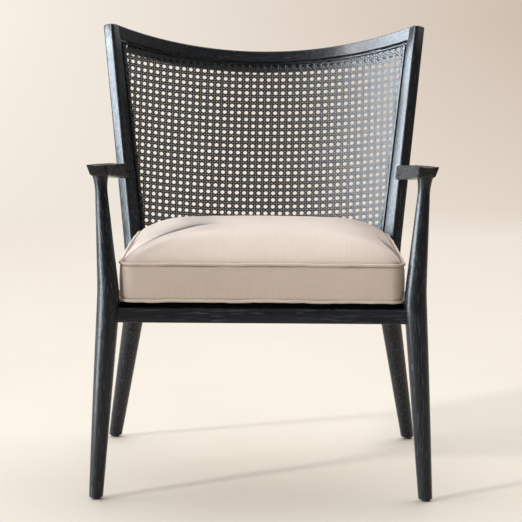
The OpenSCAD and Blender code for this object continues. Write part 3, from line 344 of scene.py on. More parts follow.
def metal(name, tone, dark, gloss):
    """Plated or painted metal with patchy gloss."""
    material, tree, shader, place = finish_start(name, Metallic=1.0)
    soft = place_group(tree, MOTTLE, {"Position": place["Object"], "Scale": 260.0})
    tree.links.new(blend_colour(tree, soft["Patches"], dark, tone), shader["Base Color"])
    tree.links.new(maths(tree, "MULTIPLY_ADD", soft["Specks"], 0.2, gloss), shader["Roughness"])
    bumped(tree, shader, soft["Specks"], 0.00003, 0.5)
    return material


def moulded(name, tone, dark, gloss, scale, depth):
    """Nylon and woven tape: one tone with patches and a fine tooth."""
    material, tree, shader, place = finish_start(name, IOR=1.45)
    soft = place_group(tree, MOTTLE, {"Position": place["Object"], "Scale": scale})
    tree.links.new(blend_colour(tree, soft["Patches"], dark, tone), shader["Base Color"])
    tree.links.new(maths(tree, "MULTIPLY_ADD", soft["Patches"], 0.15, gloss), shader["Roughness"])
    bumped(tree, shader, soft["Specks"], depth)
    return material


UPRIGHT_WOOD = ebonised("ebonised_upright", (900, 900, 55), *BLACK_STAIN)
CROSS_WOOD = ebonised("ebonised_across", (55, 900, 900), *BLACK_STAIN)
# The arms and side rails take the brown copy of the stain, a painted reflection of the warm floor and backdrop.
ARM_WOOD = ebonised("ebonised_front_to_back", (900, 55, 900), *BROWN_REFLECTION_STAIN)
CANE = stained_cane()
LINEN = linen("oatmeal_linen", (0.60, 0.495, 0.415), (0.64, 0.53, 0.448), 0.0007, 0.0002)
# The piping's linen is a little lighter than the cover's: painted light on the rounded cord.
PIPING = linen("oatmeal_linen_piping", (0.615, 0.508, 0.428), (0.67, 0.557, 0.475), 0.0006, 0.00018)
DECK_CLOTH = black_cloth()
PLY = plain_wood("birch_plywood", (0.62, 0.45, 0.27), (0.47, 0.31, 0.17), (35, 620, 620))
DOWEL_WOOD = plain_wood("beech_dowel", (0.60, 0.41, 0.25), (0.44, 0.27, 0.15), (620, 620, 40))
STEEL = metal("zinc_plated_steel", (0.66, 0.67, 0.68), (0.42, 0.43, 0.45), 0.28)
ZIP_METAL = metal("dark_zip_metal", (0.22, 0.21, 0.20), (0.10, 0.10, 0.10), 0.3)
NYLON = moulded("black_nylon", (0.016, 0.016, 0.017), (0.007, 0.007, 0.008), 0.42, 300.0, 0.00005)
ZIP_NYLON = moulded("black_zip_tape", (0.02, 0.02, 0.021), (0.008, 0.008, 0.009), 0.6, 500.0, 0.0001)

FINISHES = {
    UPRIGHT_WOOD: ["front_leg_left", "front_leg_right", "back_post_left", "back_post_right", "cane_stile_left",
                   "cane_stile_right", "spline_left", "spline_right"],
    CROSS_WOOD: ["front_rail", "rear_rail", "top_rail", "lower_back_rail", "cane_head", "cane_sill", "spline_top",
                 "spline_bottom"],
    ARM_WOOD: ["arm_left", "arm_right", "side_rail_left", "side_rail_right"],
    PLY: ["seat_panel", "corner_block_front_left", "corner_block_front_right", "corner_block_rear_left",
          "corner_block_rear_right"],
    DOWEL_WOOD: ["rail_dowels", "back_rail_dowels", "arm_dowels"],
    STEEL: ["corner_block_screws", "deck_screws", "deck_staples", "glide_nails"],
    NYLON: ["glide_front_left", "glide_front_right", "glide_rear_left", "glide_rear_right"],
    ZIP_NYLON: ["zip_chain"],
    ZIP_METAL: ["zip_slider"],
}


def even_shading(limit):
    """A modifier tree that joins a solid's flat facets into smooth faces and keeps its real edges sharp."""
    tree = bpy.data.node_groups.new("even_shading", "GeometryNodeTree")
    for way in ("INPUT", "OUTPUT"):
        tree.interface.new_socket("Geometry", in_out=way, socket_type="NodeSocketGeometry")
    start, end = tree.nodes.new("NodeGroupInput"), tree.nodes.new("NodeGroupOutput")
    bare = put(tree, "GeometryNodeRemoveAttribute", {"Geometry": start.outputs[0], "Name": "custom_normal"})
    joined = put(tree, "GeometryNodeMergeByDistance", {"Geometry": bare.outputs[0], "Distance": 0.00001})
    smooth = put(tree, "GeometryNodeSetShadeSmooth", {"Geometry": joined.outputs[0], "Shade Smooth": True})
    angle = tree.nodes.new("GeometryNodeInputMeshEdgeAngle").outputs["Unsigned Angle"]
    sharp = maths(tree, "GREATER_THAN", angle, limit)
    kept = put(tree, "GeometryNodeSetShadeSmooth", {"Geometry": smooth.outputs[0], "Selection": sharp,
               "Shade Smooth": False}, domain="EDGE")
    tree.links.new(kept.outputs[0], end.inputs[0])
    return tree


EVEN = even_shading(math.radians(38))
for material, names in FINISHES.items():
    for name in names:
        piece = nodes[name]
        piece.data.materials.clear()
        piece.data.materials.append(material)
        piece.modifiers.new("even_shading", "NODES").node_group = EVEN


# Woven cane: pairs of strands up and across, and slanting strands both ways that lock them. The pitches are from
# hole to hole, the leans are the slopes of the pairs, and the shift is the place of the middle crossing.
PITCH_ACROSS, PITCH_UP = 0.0157073, 0.0148876
PAIR_HALF, STRAND_W, STRAND_T, SLANT_W = 0.0020, 0.00315, 0.0005, 0.0028
CANE_DEPTH, CANE_LIFT, SLANT_LIFT = 0.0048, 0.00035, 0.00055
LEAN_UPRIGHT, LEAN_CROSS = 0.01852, -0.00193
WEAVE_SHIFT = (0.0010, 0.0068)
WEAVE_HALF, WEAVE_LOW, WEAVE_HIGH = 0.345, -0.275, 0.200
# Across a strand: place on its width, rise on its thickness, and UV across it in metres
STRAND_SECTION = ((-0.5, 0.0, 0.0), (-0.27, 0.85, 0.0006), (0.27, 0.85, 0.0017), (0.5, 0.0, 0.0023))


def on_back(along, up, depth):
    """Points on the curved back: arc length from the middle, height up the lean, and depth to the rear."""
    turn = along / BACK_R
    sag = BACK_R - (BACK_R + depth) * np.cos(turn)
    return np.stack([(BACK_R + depth) * np.sin(turn),
                     BACK_Y + up * math.sin(BACK_LEAN) - sag * math.cos(BACK_LEAN),
                     BACK_Z + up * math.cos(BACK_LEAN) + sag * math.sin(BACK_LEAN)], -1)


def inside_bead(along, up):
    """Which points of the back lie within the opening that the bead leaves for the cane."""
    half = OPENING_HALF + OPENING_FLARE * up - BEAD_INSET
    chord = BACK_R * np.sin(along / BACK_R)
    top = OPENING_TOP + TOP_RISE * (chord / TOP_HALF) ** 2 - BEAD_INSET
    return (np.abs(chord) < half) & (up > OPENING_LOW + BEAD_INSET) & (up < top)


def strand(across, up, depth, width):
    """One flat-backed strand with a rounded front, for the stretch inside the bead: points, UV and ring count."""
    along_t = across + up * LEAN_UPRIGHT + WEAVE_SHIFT[0]
    up_t = up + across * LEAN_CROSS + WEAVE_SHIFT[1]
    keep = np.flatnonzero(inside_bead(along_t, up_t))
    if len(keep) < 4:
        return None
    keep = slice(keep[0], keep[-1] + 1)
    a, v, d = along_t[keep], up_t[keep], depth[keep]
    middle = on_back(a, v, d)
    forward = unit(on_back(a, v, d - 0.001) - middle)
    way = unit(np.gradient(middle, axis=0))
    side = unit(np.cross(way, forward))
    rings = np.stack([middle + side * width * s + forward * STRAND_T * f for s, f, girth in STRAND_SECTION], 1)
    run = run_along(middle)
    uv = np.stack([np.column_stack([run, np.full(len(run), girth)]) for s, f, girth in STRAND_SECTION], 1)
    return rings.reshape(-1, 3), uv.reshape(-1, 2), len(run)


def cane_layer(name, strands):
    """One mesh of many strands, each closed at both ends."""
    points, uvs, faces, first = [], [], [], 0
    for made in strands:
        if made is None:
            continue
        rings, uv, count = made
        points.append(rings)
        uvs.append(uv)
        faces.append(ring_quads(count, 4, first))
        last = first + (count - 1) * 4
        faces.append(np.array([[first + 3, first + 2, first + 1, first], [last, last + 1, last + 2, last + 3]]))
        first += count * 4
    return mesh_piece(name, np.concatenate(points), np.concatenate(faces), CANE, uv=np.concatenate(uvs))


def lift(distance, side):
    """How a strand rises over one of a crossing pair and dips under the other."""
    near = np.abs(distance) < 2 * PAIR_HALF
    return np.where(near, side * CANE_LIFT * np.sin(math.pi * distance / (2 * PAIR_HALF)), 0.0)


def from_nearest(value, pitch):
    """Signed distance to the nearest line of an even pitch."""
    return value - np.round(value / pitch) * pitch


up_run = np.arange(WEAVE_LOW, WEAVE_HIGH, PITCH_UP / 8)
across_run = np.arange(-WEAVE_HALF, WEAVE_HALF, PITCH_ACROSS / 8)
slant_run = np.arange(-WEAVE_HALF, WEAVE_HALF, PITCH_ACROSS / 7)
upright_pairs, cross_pairs, slants = [], [], []
for i in range(-21, 22):
    for side in (-1, 1):
        wander = waves(up_run, (0.00012, 0.083, 0.37 * i), (0.00008, 0.031, 0.61 * i + 0.3 * side))
        upright_pairs.append(strand(i * PITCH_ACROSS + side * PAIR_HALF + wander, up_run,
                                    CANE_DEPTH + lift(from_nearest(up_run, PITCH_UP), side), STRAND_W))
for j in range(-18, 14):
    for side in (-1, 1):
        wander = waves(across_run, (0.00012, 0.091, 0.23 * j), (0.00008, 0.027, 0.47 * j + 0.3 * side))
        cross_pairs.append(strand(across_run, j * PITCH_UP + side * PAIR_HALF + wander,
                                  CANE_DEPTH - lift(from_nearest(across_run, PITCH_ACROSS), side), STRAND_W))
for k in range(-40, 40):
    for way in (-1, 1):
        slant_up = (k + 0.5 - way * slant_run / PITCH_ACROSS) * PITCH_UP
        wave = way * SLANT_LIFT * np.cos(2 * math.pi * slant_run / PITCH_ACROSS)
        slants.append(strand(slant_run, slant_up, CANE_DEPTH + wave, SLANT_W))
for name, strands, stands_for in (("cane_upright_pairs", upright_pairs, ["cane_uprights"]),
                                  ("cane_cross_pairs", cross_pairs, ["cane_courses"]),
                                  ("cane_slants", slants, [])):
    layer = cane_layer(name, strands)
    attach(layer, "frame")
    if stands_for:
        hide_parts(*stands_for)


# Seat cushion: a box cushion with piping on both seams, crowned on top
def arc(centre, radius, start, end, count):
    a = np.linspace(start, end, count)
    return np.stack([centre[0] + radius * np.cos(a), centre[1] + radius * np.sin(a)], -1)


def line(a, b, count):
    return np.linspace(a, b, count + 2)[1:-1]


CUSHION_BACK = CUSHION_AXIS + BACK_R
MIDDLE = np.array([0.0, (CUSHION_FRONT + CUSHION_BACK) / 2])


def outline(up):
    """The cover's outline in plan at a share of the way up the boxing, from the middle of the front by the right."""
    turn = math.asin((HALF_REAR + SPREAD * up - REAR_CORNER) / (BACK_R - REAR_CORNER))
    front_at = np.array([HALF_FRONT - FRONT_CORNER, CUSHION_FRONT + FRONT_CORNER])
    corner_r = BACK_R - REAR_CORNER
    rear_at = np.array([corner_r * math.sin(turn), CUSHION_AXIS + corner_r * math.cos(turn)])
    front = line((0, CUSHION_FRONT), (front_at[0], CUSHION_FRONT), 52)
    front[:, 1] += PULL_IN * np.cos(np.linspace(0, math.pi / 2, len(front))) ** 2
    flank = line(front_at + (FRONT_CORNER, 0), rear_at + (REAR_CORNER, 0), 84)
    bend = np.sin(np.linspace(0, math.pi, len(flank)))
    flank[:, 0] += BOW * bend - PULL_IN / 3 * bend ** 2
    back_turn = np.linspace(turn, 0, 60)[1:-1]
    back = np.stack([BACK_R * np.sin(back_turn), CUSHION_AXIS + BACK_R * np.cos(back_turn)], -1)
    right = np.concatenate([front, arc(front_at, FRONT_CORNER, -math.pi / 2, 0, 14), flank,
                            arc(rear_at, REAR_CORNER, 0, math.pi / 2 - turn, 12), back])
    return np.concatenate([[(0, CUSHION_FRONT + PULL_IN)], right, [(0, CUSHION_BACK)], (right * (-1, 1))[::-1]])


AROUND = len(outline(0.0))


def ring(z, inset, up, share):
    """One ring of the cover: drawn in by inset, and raised by a share of the upper seam's rise to the rear."""
    plan = outline(up)
    raised = (smooth_step((plan[:, 1] - CUSHION_FRONT) / SIDE_LENGTH)
              * np.minimum(1, np.abs(plan[:, 0]) / HALF_REAR) ** 2)
    return np.column_stack([MIDDLE + (plan - MIDDLE) * (1 - inset / HALF_FRONT), z + share * SEAM_RISE * raised])


def cushion_rings(share, bulge):
    """Rings of the cover from the middle of the underside, up the boxing, to the middle of the crown."""
    rings = []
    for t in (0.97, 0.85, 0.7, 0.5, 0.32, 0.2, 0.12, 0.07, 0.04, 0.022):
        rise = 0.006 * float(np.clip(1 - t / 0.1, 0, 1)) ** 2
        rings.append((CUSHION_LOW + rise * 0.9, t * HALF_FRONT + 0.001, 0, 0))
    boxing = np.concatenate([[0, 0.0012, 0.0026, 0.0045, 0.007, 0.011], np.linspace(0.016, 0.028, 4),
                             [0.0295, 0.0305, 0.0355, 0.0365, 0.0415, 0.0425], np.linspace(0.046, 0.058, 4),
                             [0.061, 0.065, 0.0675, 0.0694, 0.0708, 0.072]])
    for h in boxing:
        gap, up = min(h, boxing[-1] - h), h / boxing[-1]
        rings.append((SEAM_LOW + h, 0.0072 * math.exp(-gap / 0.0022) - bulge * math.sin(math.pi * up), up, up))
    for t in np.concatenate([[0.004, 0.009, 0.016, 0.025, 0.036, 0.049], np.linspace(0.062, 0.97, 62)]):
        height = SEAM_TOP + CROWN * share * (1 - (1 - t) ** 3) ** CROWN_POWER
        rings.append((height, 0.0044 + t * (HALF_FRONT - 0.0046), 1, (1 - t) ** 2))
    return np.concatenate([ring(*r) for r in rings]), len(rings)


def cover_faces(rings):
    """Faces between the rings, and strips from side to side that close the underside and the crown."""
    faces = [ring_quads(rings, AROUND)]
    i = np.arange(AROUND // 2 - 1)
    for first, flip in ((0, True), ((rings - 1) * AROUND, False)):
        strip = first + np.stack([i, i + 1, AROUND - 2 - i, AROUND - 1 - i], -1)
        faces.append(strip[:, ::-1] if flip else strip)
    return np.concatenate(faces)


# The simulation's mesh size, how near a seam the cloth is held, how far a point may move, and how often that is eased
SWELL_MESH, SWELL_HELD, SWELL_CAP, SWELL_EASED = 0.0058, 0.0085, 0.0028, 12


def find_tree(points):
    tree = KDTree(len(points))
    for n, p in enumerate(points):
        tree.insert(p, n)
    tree.balance()
    return tree


def swell(points, faces):
    """Cloth simulation of the stuffed cover on an even mesh, as the movement of each given point."""
    pad = mesh_piece("cover_trial", points, faces, LINEN)
    remesh = pad.modifiers.new("even_mesh", "REMESH")
    remesh.mode, remesh.voxel_size = "VOXEL", SWELL_MESH
    even = bpy.data.meshes.new_from_object(pad.evaluated_get(bpy.context.evaluated_depsgraph_get()))
    trial = bpy.data.objects.new("cover_trial_even", even)
    scene.collection.objects.link(trial)
    start = np.array([v.co for v in even.vertices])
    held = trial.vertex_groups.new(name="sewn")
    seams = find_tree(np.concatenate([ring(SEAM_TOP, 0, 1, 1), ring(SEAM_LOW, 0, 0, 0)]))
    for n, p in enumerate(start):
        if seams.find(p)[2] < SWELL_HELD or p[2] < SEAM_LOW:
            held.add([n], 1.0, "REPLACE")
    cloth = trial.modifiers.new("stuffing", "CLOTH")
    for label, value in (("quality", 6), ("use_pressure", True), ("uniform_pressure_force", 4.0),
                         ("vertex_group_mass", "sewn"), ("shrink_min", -0.003), ("tension_stiffness", 12),
                         ("bending_stiffness", 2.5)):
        setattr(cloth.settings, label, value)
    cloth.settings.effector_weights.gravity = 0.0
    cloth.point_cache.frame_start, cloth.point_cache.frame_end = 1, 20
    for number in range(1, 21):
        scene.frame_set(number)
    settled = trial.evaluated_get(bpy.context.evaluated_depsgraph_get()).to_mesh()
    moved = np.array([v.co for v in settled.vertices]) - start
    scene.frame_set(1)
    size = np.linalg.norm(moved, axis=1, keepdims=True)
    moved *= np.minimum(1, SWELL_CAP / np.maximum(size, 1e-9))
    nearby = find_tree(start)
    result = np.zeros_like(points)
    for n, p in enumerate(points):
        found = nearby.find_n(p, 6)
        weight = np.array([1 / (f[2] + 0.001) ** 2 for f in found])
        result[n] = (moved[[f[1] for f in found]] * weight[:, None]).sum(0) / weight.sum()
    for leftover in (trial, pad):
        mesh = leftover.data
        bpy.data.objects.remove(leftover)
        bpy.data.meshes.remove(mesh)
    grid = result.reshape(-1, AROUND, 3)
    for turn in range(SWELL_EASED):
        grid = (grid * 2 + np.roll(grid, 1, 1) + np.roll(grid, -1, 1)) / 4
        grid[1:-1] = (grid[1:-1] * 2 + grid[:-2] + grid[2:]) / 4
        grid[0], grid[-1] = grid[1], grid[-2]
    return grid.reshape(-1, 3)


# Folds of the top panel in plan from the front feet: path, depth, width and side of the softer slope
FOLDS = (
    (((-0.277, 0.022), (-0.271, 0.038), (-0.2600, 0.051), (-0.2450, 0.064), (-0.2300, 0.085), (-0.2148, 0.107),
      (-0.1995, 0.130), (-0.177, 0.152), (-0.1540, 0.180), (-0.1386, 0.202), (-0.123, 0.211), (-0.106, 0.218),
      (-0.080, 0.223)), 0.0065, 0.014, 1),
    (((-0.268, 0.140), (-0.262, 0.182), (-0.257, 0.256), (-0.252, 0.350)), 0.003, 0.005, 1),
    (((0.274, 0.050), (0.265, 0.107), (0.255, 0.156), (0.240, 0.214), (0.226, 0.290)), 0.006, 0.010, -1),
)
FOLD_REACH, FOLD_CUTS, FOLD_POINTS = 0.014, 4, 120
CLEAR_OF_SEAM = 0.0005
# Across a fold: reach of the steep side, half width of the notch and what it gains along the path, and the same for
# the band of painted shade, wider on the softer side. A fold of full depth gets full painted shade, a wide one a
# painted shadow over its rear.
STEEP, NOTCH, NOTCH_GAIN = 0.0024, 0.0021, 0.004
BAND, BAND_GAIN, BAND_SOFT, BAND_STEEP = 0.0024, 0.007, 0.006, 0.0018
FULL_DEPTH, WIDE_FOLD, SHADE, SHADE_REACH = 0.006, 0.012, 0.75, 0.05


def fold_paths():
    """Each fold's path as even points in plan, with its depth, width and softer side."""
    for knots, depth, wide, side in FOLDS:
        knots = np.array(knots) + (0, FRONT)
        t = np.linspace(0, len(knots) - 1, FOLD_POINTS)
        yield np.stack([np.interp(t, np.arange(len(knots)), knots[:, k]) for k in (0, 1)], -1), depth, wide, side


def finer(piece):
    """Splits the faces beside the folds, so that the folds keep their crisp edges."""
    work = bmesh.new()
    work.from_mesh(piece.data)
    plan = np.array([v.co[:] for v in work.verts])
    close = np.zeros(len(plan), bool)
    for fold in fold_paths():
        close |= np.linalg.norm(plan[:, None, :2] - fold[0][None, ::2], axis=2).min(1) < FOLD_REACH
    close &= plan[:, 2] > SEAM_TOP + CLEAR_OF_SEAM
    edges = [e for e in work.edges if close[e.verts[0].index] and close[e.verts[1].index]]
    bmesh.ops.subdivide_edges(work, edges=edges, cuts=FOLD_CUTS, use_grid_fill=True)
    work.to_mesh(piece.data)
    work.free()
    # The folds are sunk, and each point gets the amount of painted shade that darkens the linen there.
    points, painted_shade = tucked(np.array([v.co[:] for v in piece.data.vertices]))
    piece.data.vertices.foreach_set("co", points.astype(np.float32).ravel())
    piece.data.attributes.new("painted_shade", "FLOAT", "POINT").data.foreach_set("value", painted_shade.astype(np.float32))
    piece.data.update()
    piece.data.shade_smooth()


def tucked(points):
    """Sinks the folds into the top panel, steep on one side and softer on the other. Returns the points and the
    painted
    shade of each: along a fold, a painted shadow behind the deep one, and here and there below the front seam."""
    on_top = points[:, 2] > SEAM_TOP + CLEAR_OF_SEAM
    p = points[on_top, :2]
    drop, fold_shade = np.zeros(len(p)), np.zeros(len(p))
    for path, depth, wide, side in fold_paths():
        gaps = np.linalg.norm(p[:, None, :] - path[None], axis=2)
        nearest, near = gaps.argmin(1), gaps.min(1)
        ahead, away = np.gradient(path, axis=0)[nearest], p - path[nearest]
        softer = side * (ahead[:, 0] * away[:, 1] - ahead[:, 1] * away[:, 0]) > 0
        share = nearest / (len(path) - 1)
        ends = smooth_step(share / 0.07) * (1 - smooth_step((share - 0.5) / 0.5))
        slope = np.where(softer, np.exp(-near / wide), np.exp(-near / STEEP))
        drop += depth * ends * (0.35 * slope + 0.5 * np.exp(-(near / (NOTCH + NOTCH_GAIN * share)) ** 2))
        band = BAND + BAND_GAIN * smooth_step(share / 0.6)
        # Painted shade along the fold, and behind the wide fold a painted shadow over its rear.
        dark = min(1, depth / FULL_DEPTH) * smooth_step(share / 0.03) * (1 - smooth_step((share - 0.55) / 0.4))
        fold_shade += dark * np.exp(-(near / np.where(softer, band + BAND_SOFT, BAND_STEEP)) ** 2)
        shade = smooth_step((share - 0.4) / 0.25) * (1 - smooth_step((share - 0.85) / 0.15)) * (wide > WIDE_FOLD)
        fold_shade += np.where(softer, SHADE * np.exp(-near / SHADE_REACH), 0) * shade
    points[on_top, 2] -= drop
    under = SEAM_TOP - points[:, 2]
    # A broken line of painted shade under the front of the top piping.
    painted_shade = 0.5 * np.exp(-((under - 0.0042) / 0.0012) ** 2) * (points[:, 1] < CUSHION_FRONT + 0.012)
    painted_shade *= np.clip(0.6 + 0.5 * waves(points[:, 0] + 0.3, (1.0, 0.16, 0.2), (0.7, 0.07, 0.5)), 0, 1)
    painted_shade[on_top] = np.clip(fold_shade, 0, 1)
    return points, painted_shade


def zip_recess(points):
    """Presses the slot for the zip into the back of the boxing."""
    rearward = points[:, 1] - CUSHION_AXIS
    turn = np.arctan2(points[:, 0], rearward)
    in_slot = ((np.abs(points[:, 2] - ZIP_Z) < ZIP_SLOT_HALF) & (np.abs(turn) < ZIP_HALF_TURN)
               & (points[:, 1] > MIDDLE[1]))
    push = np.where(in_slot, BACK_R - ZIP_DEPTH - np.hypot(points[:, 0], rearward), 0.0)
    points[:, 0] += push * np.sin(turn)
    points[:, 1] += push * np.cos(turn)
    return points


def make_cover():
    start, rings = cushion_rings(0.97, 0.0006)
    faces = cover_faces(rings)
    points = start + swell(start, faces)
    made = mesh_piece("cushion_linen", zip_recess(points), faces, LINEN)
    finer(made)
    return made


PIPING_SIDES = 12


def piping(name, z, up, sway, wobble):
    """A covered cord round the cushion, a little uneven as sewn piping is."""
    seam = ring(z, WELT * 0.1, up, up)
    path = seam[:, :2]
    *run, total = run_along(np.vstack([path, path[:1]]))
    run = np.array(run)
    ahead = unit(np.roll(path, -1, 0) - np.roll(path, 1, 0))
    out = np.column_stack([ahead[:, 1], -ahead[:, 0]])
    broad, middling, short = (total / k for k in (11, 23, 37))
    rise = sway * waves(run, (1.0, broad, 0.1), (0.6, middling, 0.35), (0.35, short, 0.7))
    push = wobble * waves(run, (1.0, middling, 0.55), (0.5, short, 0.15))
    radius = WELT / 2 * (1 + 0.05 * waves(run, (1.0, total / 61, 0.2), (0.6, total / 97, 0.5)))
    angles = np.linspace(0, 2 * math.pi, PIPING_SIDES, endpoint=False)
    rings = []
    for n in range(len(path)):
        centre = np.array([*(path[n] + out[n] * push[n]), seam[n, 2] + rise[n]])
        rings.append([centre + radius[n] * (math.cos(a) * np.array([*out[n], 0]) + math.sin(a) * np.array([0, 0, 1]))
                      for a in angles])
    faces = ring_quads(len(path), PIPING_SIDES, closed=True)
    return mesh_piece(name, np.array(rings).reshape(-1, 3), faces, PIPING)


cover = make_cover()
top_piping = piping("piping_top", SEAM_TOP, 1, 0.0004, 0.0003)
low_piping = piping("piping_low", SEAM_LOW + 0.0002, 0, 0.0005, 0.0004)
for piece, slot, stands_for in ((cover, "linen", ["cushion_cover", "cushion_wrap", "cushion_core"]),
                                (top_piping, "linen_cord", ["welt_top"]),
                                (low_piping, "linen_cord", ["welt_bottom"])):
    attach(piece, "cushion")
    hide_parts(*stands_for)


# Seat deck: black cloth drawn over its pad, folded under the plywood
DECK_AROUND, DECK_REACH, DECK_THICKNESS = 320, 0.19, 0.0011


def deck_outline():
    """The solid deck's top edge as even points in order round its middle, and that middle."""
    top = np.array([v.co for v in nodes["deck_cover"].data.vertices])
    top = np.unique(np.round(top[top[:, 2] > top[:, 2].max() - 0.0001][:, :2], 6), axis=0)
    middle = top.mean(0)
    order = np.argsort(np.arctan2(top[:, 1] - middle[1], top[:, 0] - middle[0]))
    edge = np.vstack([top[order], top[order[:1]]])
    run = run_along(edge)
    even = np.linspace(0, run[-1], DECK_AROUND, endpoint=False)
    return np.stack([np.interp(even, run, edge[:, k]) for k in (0, 1)], -1), middle


def make_deck():
    edge, middle = deck_outline()
    away = edge - middle
    reach = np.maximum(np.linalg.norm(away, axis=1, keepdims=True), DECK_REACH)
    low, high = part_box("deck_cover")
    rings = []
    for inset, z in ((0.026, low.z), (0.014, low.z), (0.004, low.z), (0.001, low.z + 0.001), (0, low.z + 0.004),
                     (0.0003, low.z + 0.010), (0.0003, high.z - 0.006), (0.0008, high.z - 0.0032),
                     (0.0022, high.z - 0.0012), (0.0045, high.z - 0.0003), (0.009, high.z), (0.02, high.z),
                     (0.04, high.z - 0.0002), (0.08, high.z - 0.0006), (0.13, high.z - 0.001),
                     (0.18, high.z - 0.0012)):
        rings.append(np.column_stack([middle + away * (1 - inset / reach), np.full(len(edge), z)]))
    size, half = len(edge), len(edge) // 2
    faces = ring_quads(len(rings), size)
    i = np.arange(half - 1)
    first = (len(rings) - 1) * size
    lid = first + np.stack([i, i + 1, size - 2 - i, size - 1 - i], -1)
    made = mesh_piece("deck_cloth", np.concatenate(rings), np.concatenate([faces, lid]), DECK_CLOTH)
    made.modifiers.new("cloth_thickness", "SOLIDIFY").thickness = DECK_THICKNESS
    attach(made, "frame")
    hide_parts("deck_cover", "deck_pad")


make_deck()


# Studio: a pale floor that fades into the backdrop, a key light and a window light from the left, a pale ceiling
# The backdrop and the ground before it are lighter on the left and darker on the right: painted light from the left.
BACKDROP_LEFT, BACKDROP_RIGHT = (0.955, 0.895, 0.81), (0.60, 0.49, 0.405)
LOW_LEFT, LOW_RIGHT = (0.89, 0.825, 0.74), (0.76, 0.665, 0.575)
CEILING, PANEL, FAR_WALL, FILL = 2.75, 9.0, 0.35, 0.08
FLOOR_HALF, FLOOR_FRONT, FLOOR_REAR, FLOOR_POINTS = 4.8, -2.6, 4.8, 49


def make_world():
    """What the camera sees behind the floor, and for light a soft panel to the left and a pale ceiling."""
    world = bpy.data.worlds.new("studio")
    world.use_nodes = True
    tree = world.node_tree
    tree.nodes.clear()
    way = put(tree, "ShaderNodeSeparateXYZ", {0: tree.nodes.new("ShaderNodeTexCoord").outputs["Generated"]}).outputs
    # What the camera sees is lighter on the left than on the right: painted light on the backdrop.
    across = ranged(tree, way["X"], -0.14, 0.14)
    low = put(tree, "ShaderNodeBackground", {"Color": blend_colour(tree, across, LOW_LEFT, LOW_RIGHT)})
    high = put(tree, "ShaderNodeBackground", {"Color": blend_colour(tree, across, BACKDROP_LEFT, BACKDROP_RIGHT)})
    seen = put(tree, "ShaderNodeMixShader", {0: ranged(tree, way["Z"], -0.115, -0.03), 1: low.outputs[0],
                                             2: high.outputs[0]})
    ceiling = maths(tree, "MULTIPLY", ranged(tree, way["Z"], 0.12, 0.6, 0.0, CEILING),
                    ranged(tree, way["Y"], -0.25, 0.45, 0.14, 1.0))
    upright = maths(tree, "MULTIPLY", ranged(tree, way["Z"], -0.08, 0.10), ranged(tree, way["Z"], 0.46, 0.36))
    sideways = maths(tree, "MULTIPLY", ranged(tree, way["Y"], -0.5, -0.36),
                     ranged(tree, way["Y"], 0.18, 0.30, 1.0, 0.1))
    panel = maths(tree, "MULTIPLY", maths(tree, "MULTIPLY", upright, sideways),
                  ranged(tree, way["X"], -0.6, -0.75, 0.0, PANEL))
    far_wall = maths(tree, "MULTIPLY", ranged(tree, way["X"], 0.75, 0.9, 0.0, FAR_WALL),
                     ranged(tree, way["Z"], 0.0, 0.1))
    lit = [put(tree, "ShaderNodeBackground", {"Color": (*colour, 1.0), "Strength": strength}).outputs[0]
           for colour, strength in (((1.0, 0.82, 0.66), FILL), ((0.95, 0.97, 1.0), ceiling),
                                    ((0.80, 0.90, 1.0), panel), ((1.0, 0.95, 0.88), far_wall))]
    every = lit[0]
    for more in lit[1:]:
        every = put(tree, "ShaderNodeAddShader", {0: every, 1: more}).outputs[0]
    camera_ray = tree.nodes.new("ShaderNodeLightPath").outputs["Is Camera Ray"]
    both = put(tree, "ShaderNodeMixShader", {0: camera_ray, 1: every, 2: seen.outputs[0]})
    put(tree, "ShaderNodeOutputWorld", {"Surface": both.outputs[0]})
    scene.world = world


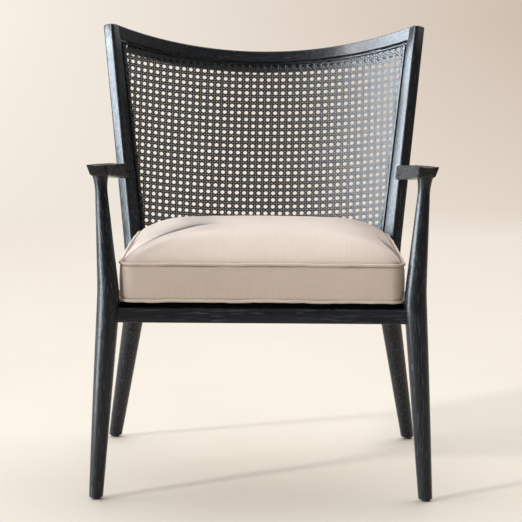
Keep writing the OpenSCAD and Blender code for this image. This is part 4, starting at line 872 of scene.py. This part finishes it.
def make_floor():
    """A pale floor that is darker to the rear and the right as painted falloff of light, and fades out into the
    backdrop at its edges.
    """
    n = FLOOR_POINTS
    x, y = np.meshgrid(np.linspace(-FLOOR_HALF, FLOOR_HALF, n), np.linspace(FLOOR_FRONT, FLOOR_REAR, n))
    points = np.stack([x, y, np.zeros_like(x)], -1).reshape(-1, 3)
    r = np.arange(n - 1)
    i = (r[:, None] * n + r[None, :]).ravel()
    material, tree, shader, place = finish_start("pale_floor", Specular_IOR_Level=0.2)
    spot = put(tree, "ShaderNodeSeparateXYZ", {0: place["Object"]}).outputs
    soft = place_group(tree, MOTTLE, {"Position": place["Object"], "Scale": 1.4})
    tone = blend_colour(tree, ranged(tree, soft["Patches"], 0.3, 0.7), (0.585, 0.532, 0.455), (0.615, 0.56, 0.482))
    # Darker to the rear and to the right: painted falloff of the light.
    painted_rear_falloff = blend_colour(tree, ranged(tree, spot["Y"], 0.3, 4.4, 0.0, 0.8), tone, (0.50, 0.442, 0.372))
    tree.links.new(blend_colour(tree, ranged(tree, spot["X"], 0.2, 2.2, 0.0, 0.5), painted_rear_falloff, (0.46, 0.398, 0.328)),
                   shader["Base Color"])
    tree.links.new(maths(tree, "MULTIPLY_ADD", soft["Specks"], 0.1, 0.75), shader["Roughness"])
    sideways = ranged(tree, maths(tree, "ABSOLUTE", spot["X"]), 3.6, 4.7, 1.0, 0.0)
    rearward = ranged(tree, spot["Y"], 3.7, 4.6, 1.0, 0.0)
    forward = ranged(tree, spot["Y"], -2.5, -1.7)
    tree.links.new(maths(tree, "MULTIPLY", sideways, maths(tree, "MULTIPLY", rearward, forward)), shader["Alpha"])
    floor = mesh_piece("studio_floor", points, np.stack([i, i + 1, i + n + 1, i + n], -1), material)


def light(name, kind, energy, colour, at=None, towards=None, travel=None, gloss_only=False, **settings):
    """A light at a place towards a point, or one that travels a given way; gloss_only leaves out its diffuse part."""
    lamp = bpy.data.lights.new(name, kind)
    lamp.energy, lamp.color = energy, colour
    for label, value in settings.items():
        setattr(lamp, label, value)
    made = bpy.data.objects.new(name, lamp)
    way = Vector(travel) if travel else Vector(towards) - Vector(at)
    made.rotation_euler = way.to_track_quat("-Z", "Y").to_euler()
    if at:
        made.location = at
    made.visible_diffuse = not gloss_only
    scene.collection.objects.link(made)


make_world()
make_floor()
light("key_from_the_left", "SUN", 1.45, (1.0, 0.975, 0.94), travel=(0.739, 0.498, -0.454), angle=math.radians(5))
light("strip_beside_the_legs", "AREA", 2.4, (0.85, 0.93, 1.0), at=(-1.25, -0.62, 0.30), towards=(-0.1, -0.33, 0.28),
      gloss_only=True, shape="RECTANGLE", size=0.45, size_y=0.5, spread=math.radians(70))
light("window_far_left", "AREA", 500, (0.80, 0.90, 1.0), at=(-3.0, -0.55, 1.5), towards=(0.0, -0.55, 1.5),
      gloss_only=True, shape="RECTANGLE", size=2.9, size_y=1.8)

# The photo's camera: focal length in pixels of a 522 pixel picture, turn, tip and roll in radians
FOCAL, PICTURE, SENSOR = 2158.8, 522, 36.0
TURN, TIP, ROLL = 0.0022, 0.1396, 0.0064
camera = bpy.data.cameras.new("camera")
camera.sensor_width, camera.lens = SENSOR, SENSOR * FOCAL / PICTURE
camera.clip_end = 60.0
viewer = bpy.data.objects.new("camera", camera)
viewer.location = (0.00693, -4.12486 + FRONT, 1.052)
viewer.rotation_euler = (Matrix.Rotation(TURN, 3, "Z") @ Matrix.Rotation(math.pi / 2 - TIP, 3, "X")
                         @ Matrix.Rotation(ROLL, 3, "Z")).to_euler()
scene.collection.objects.link(viewer)
scene.camera = viewer
scene.view_settings.view_transform = "Standard"
scene.view_settings.look = "None"
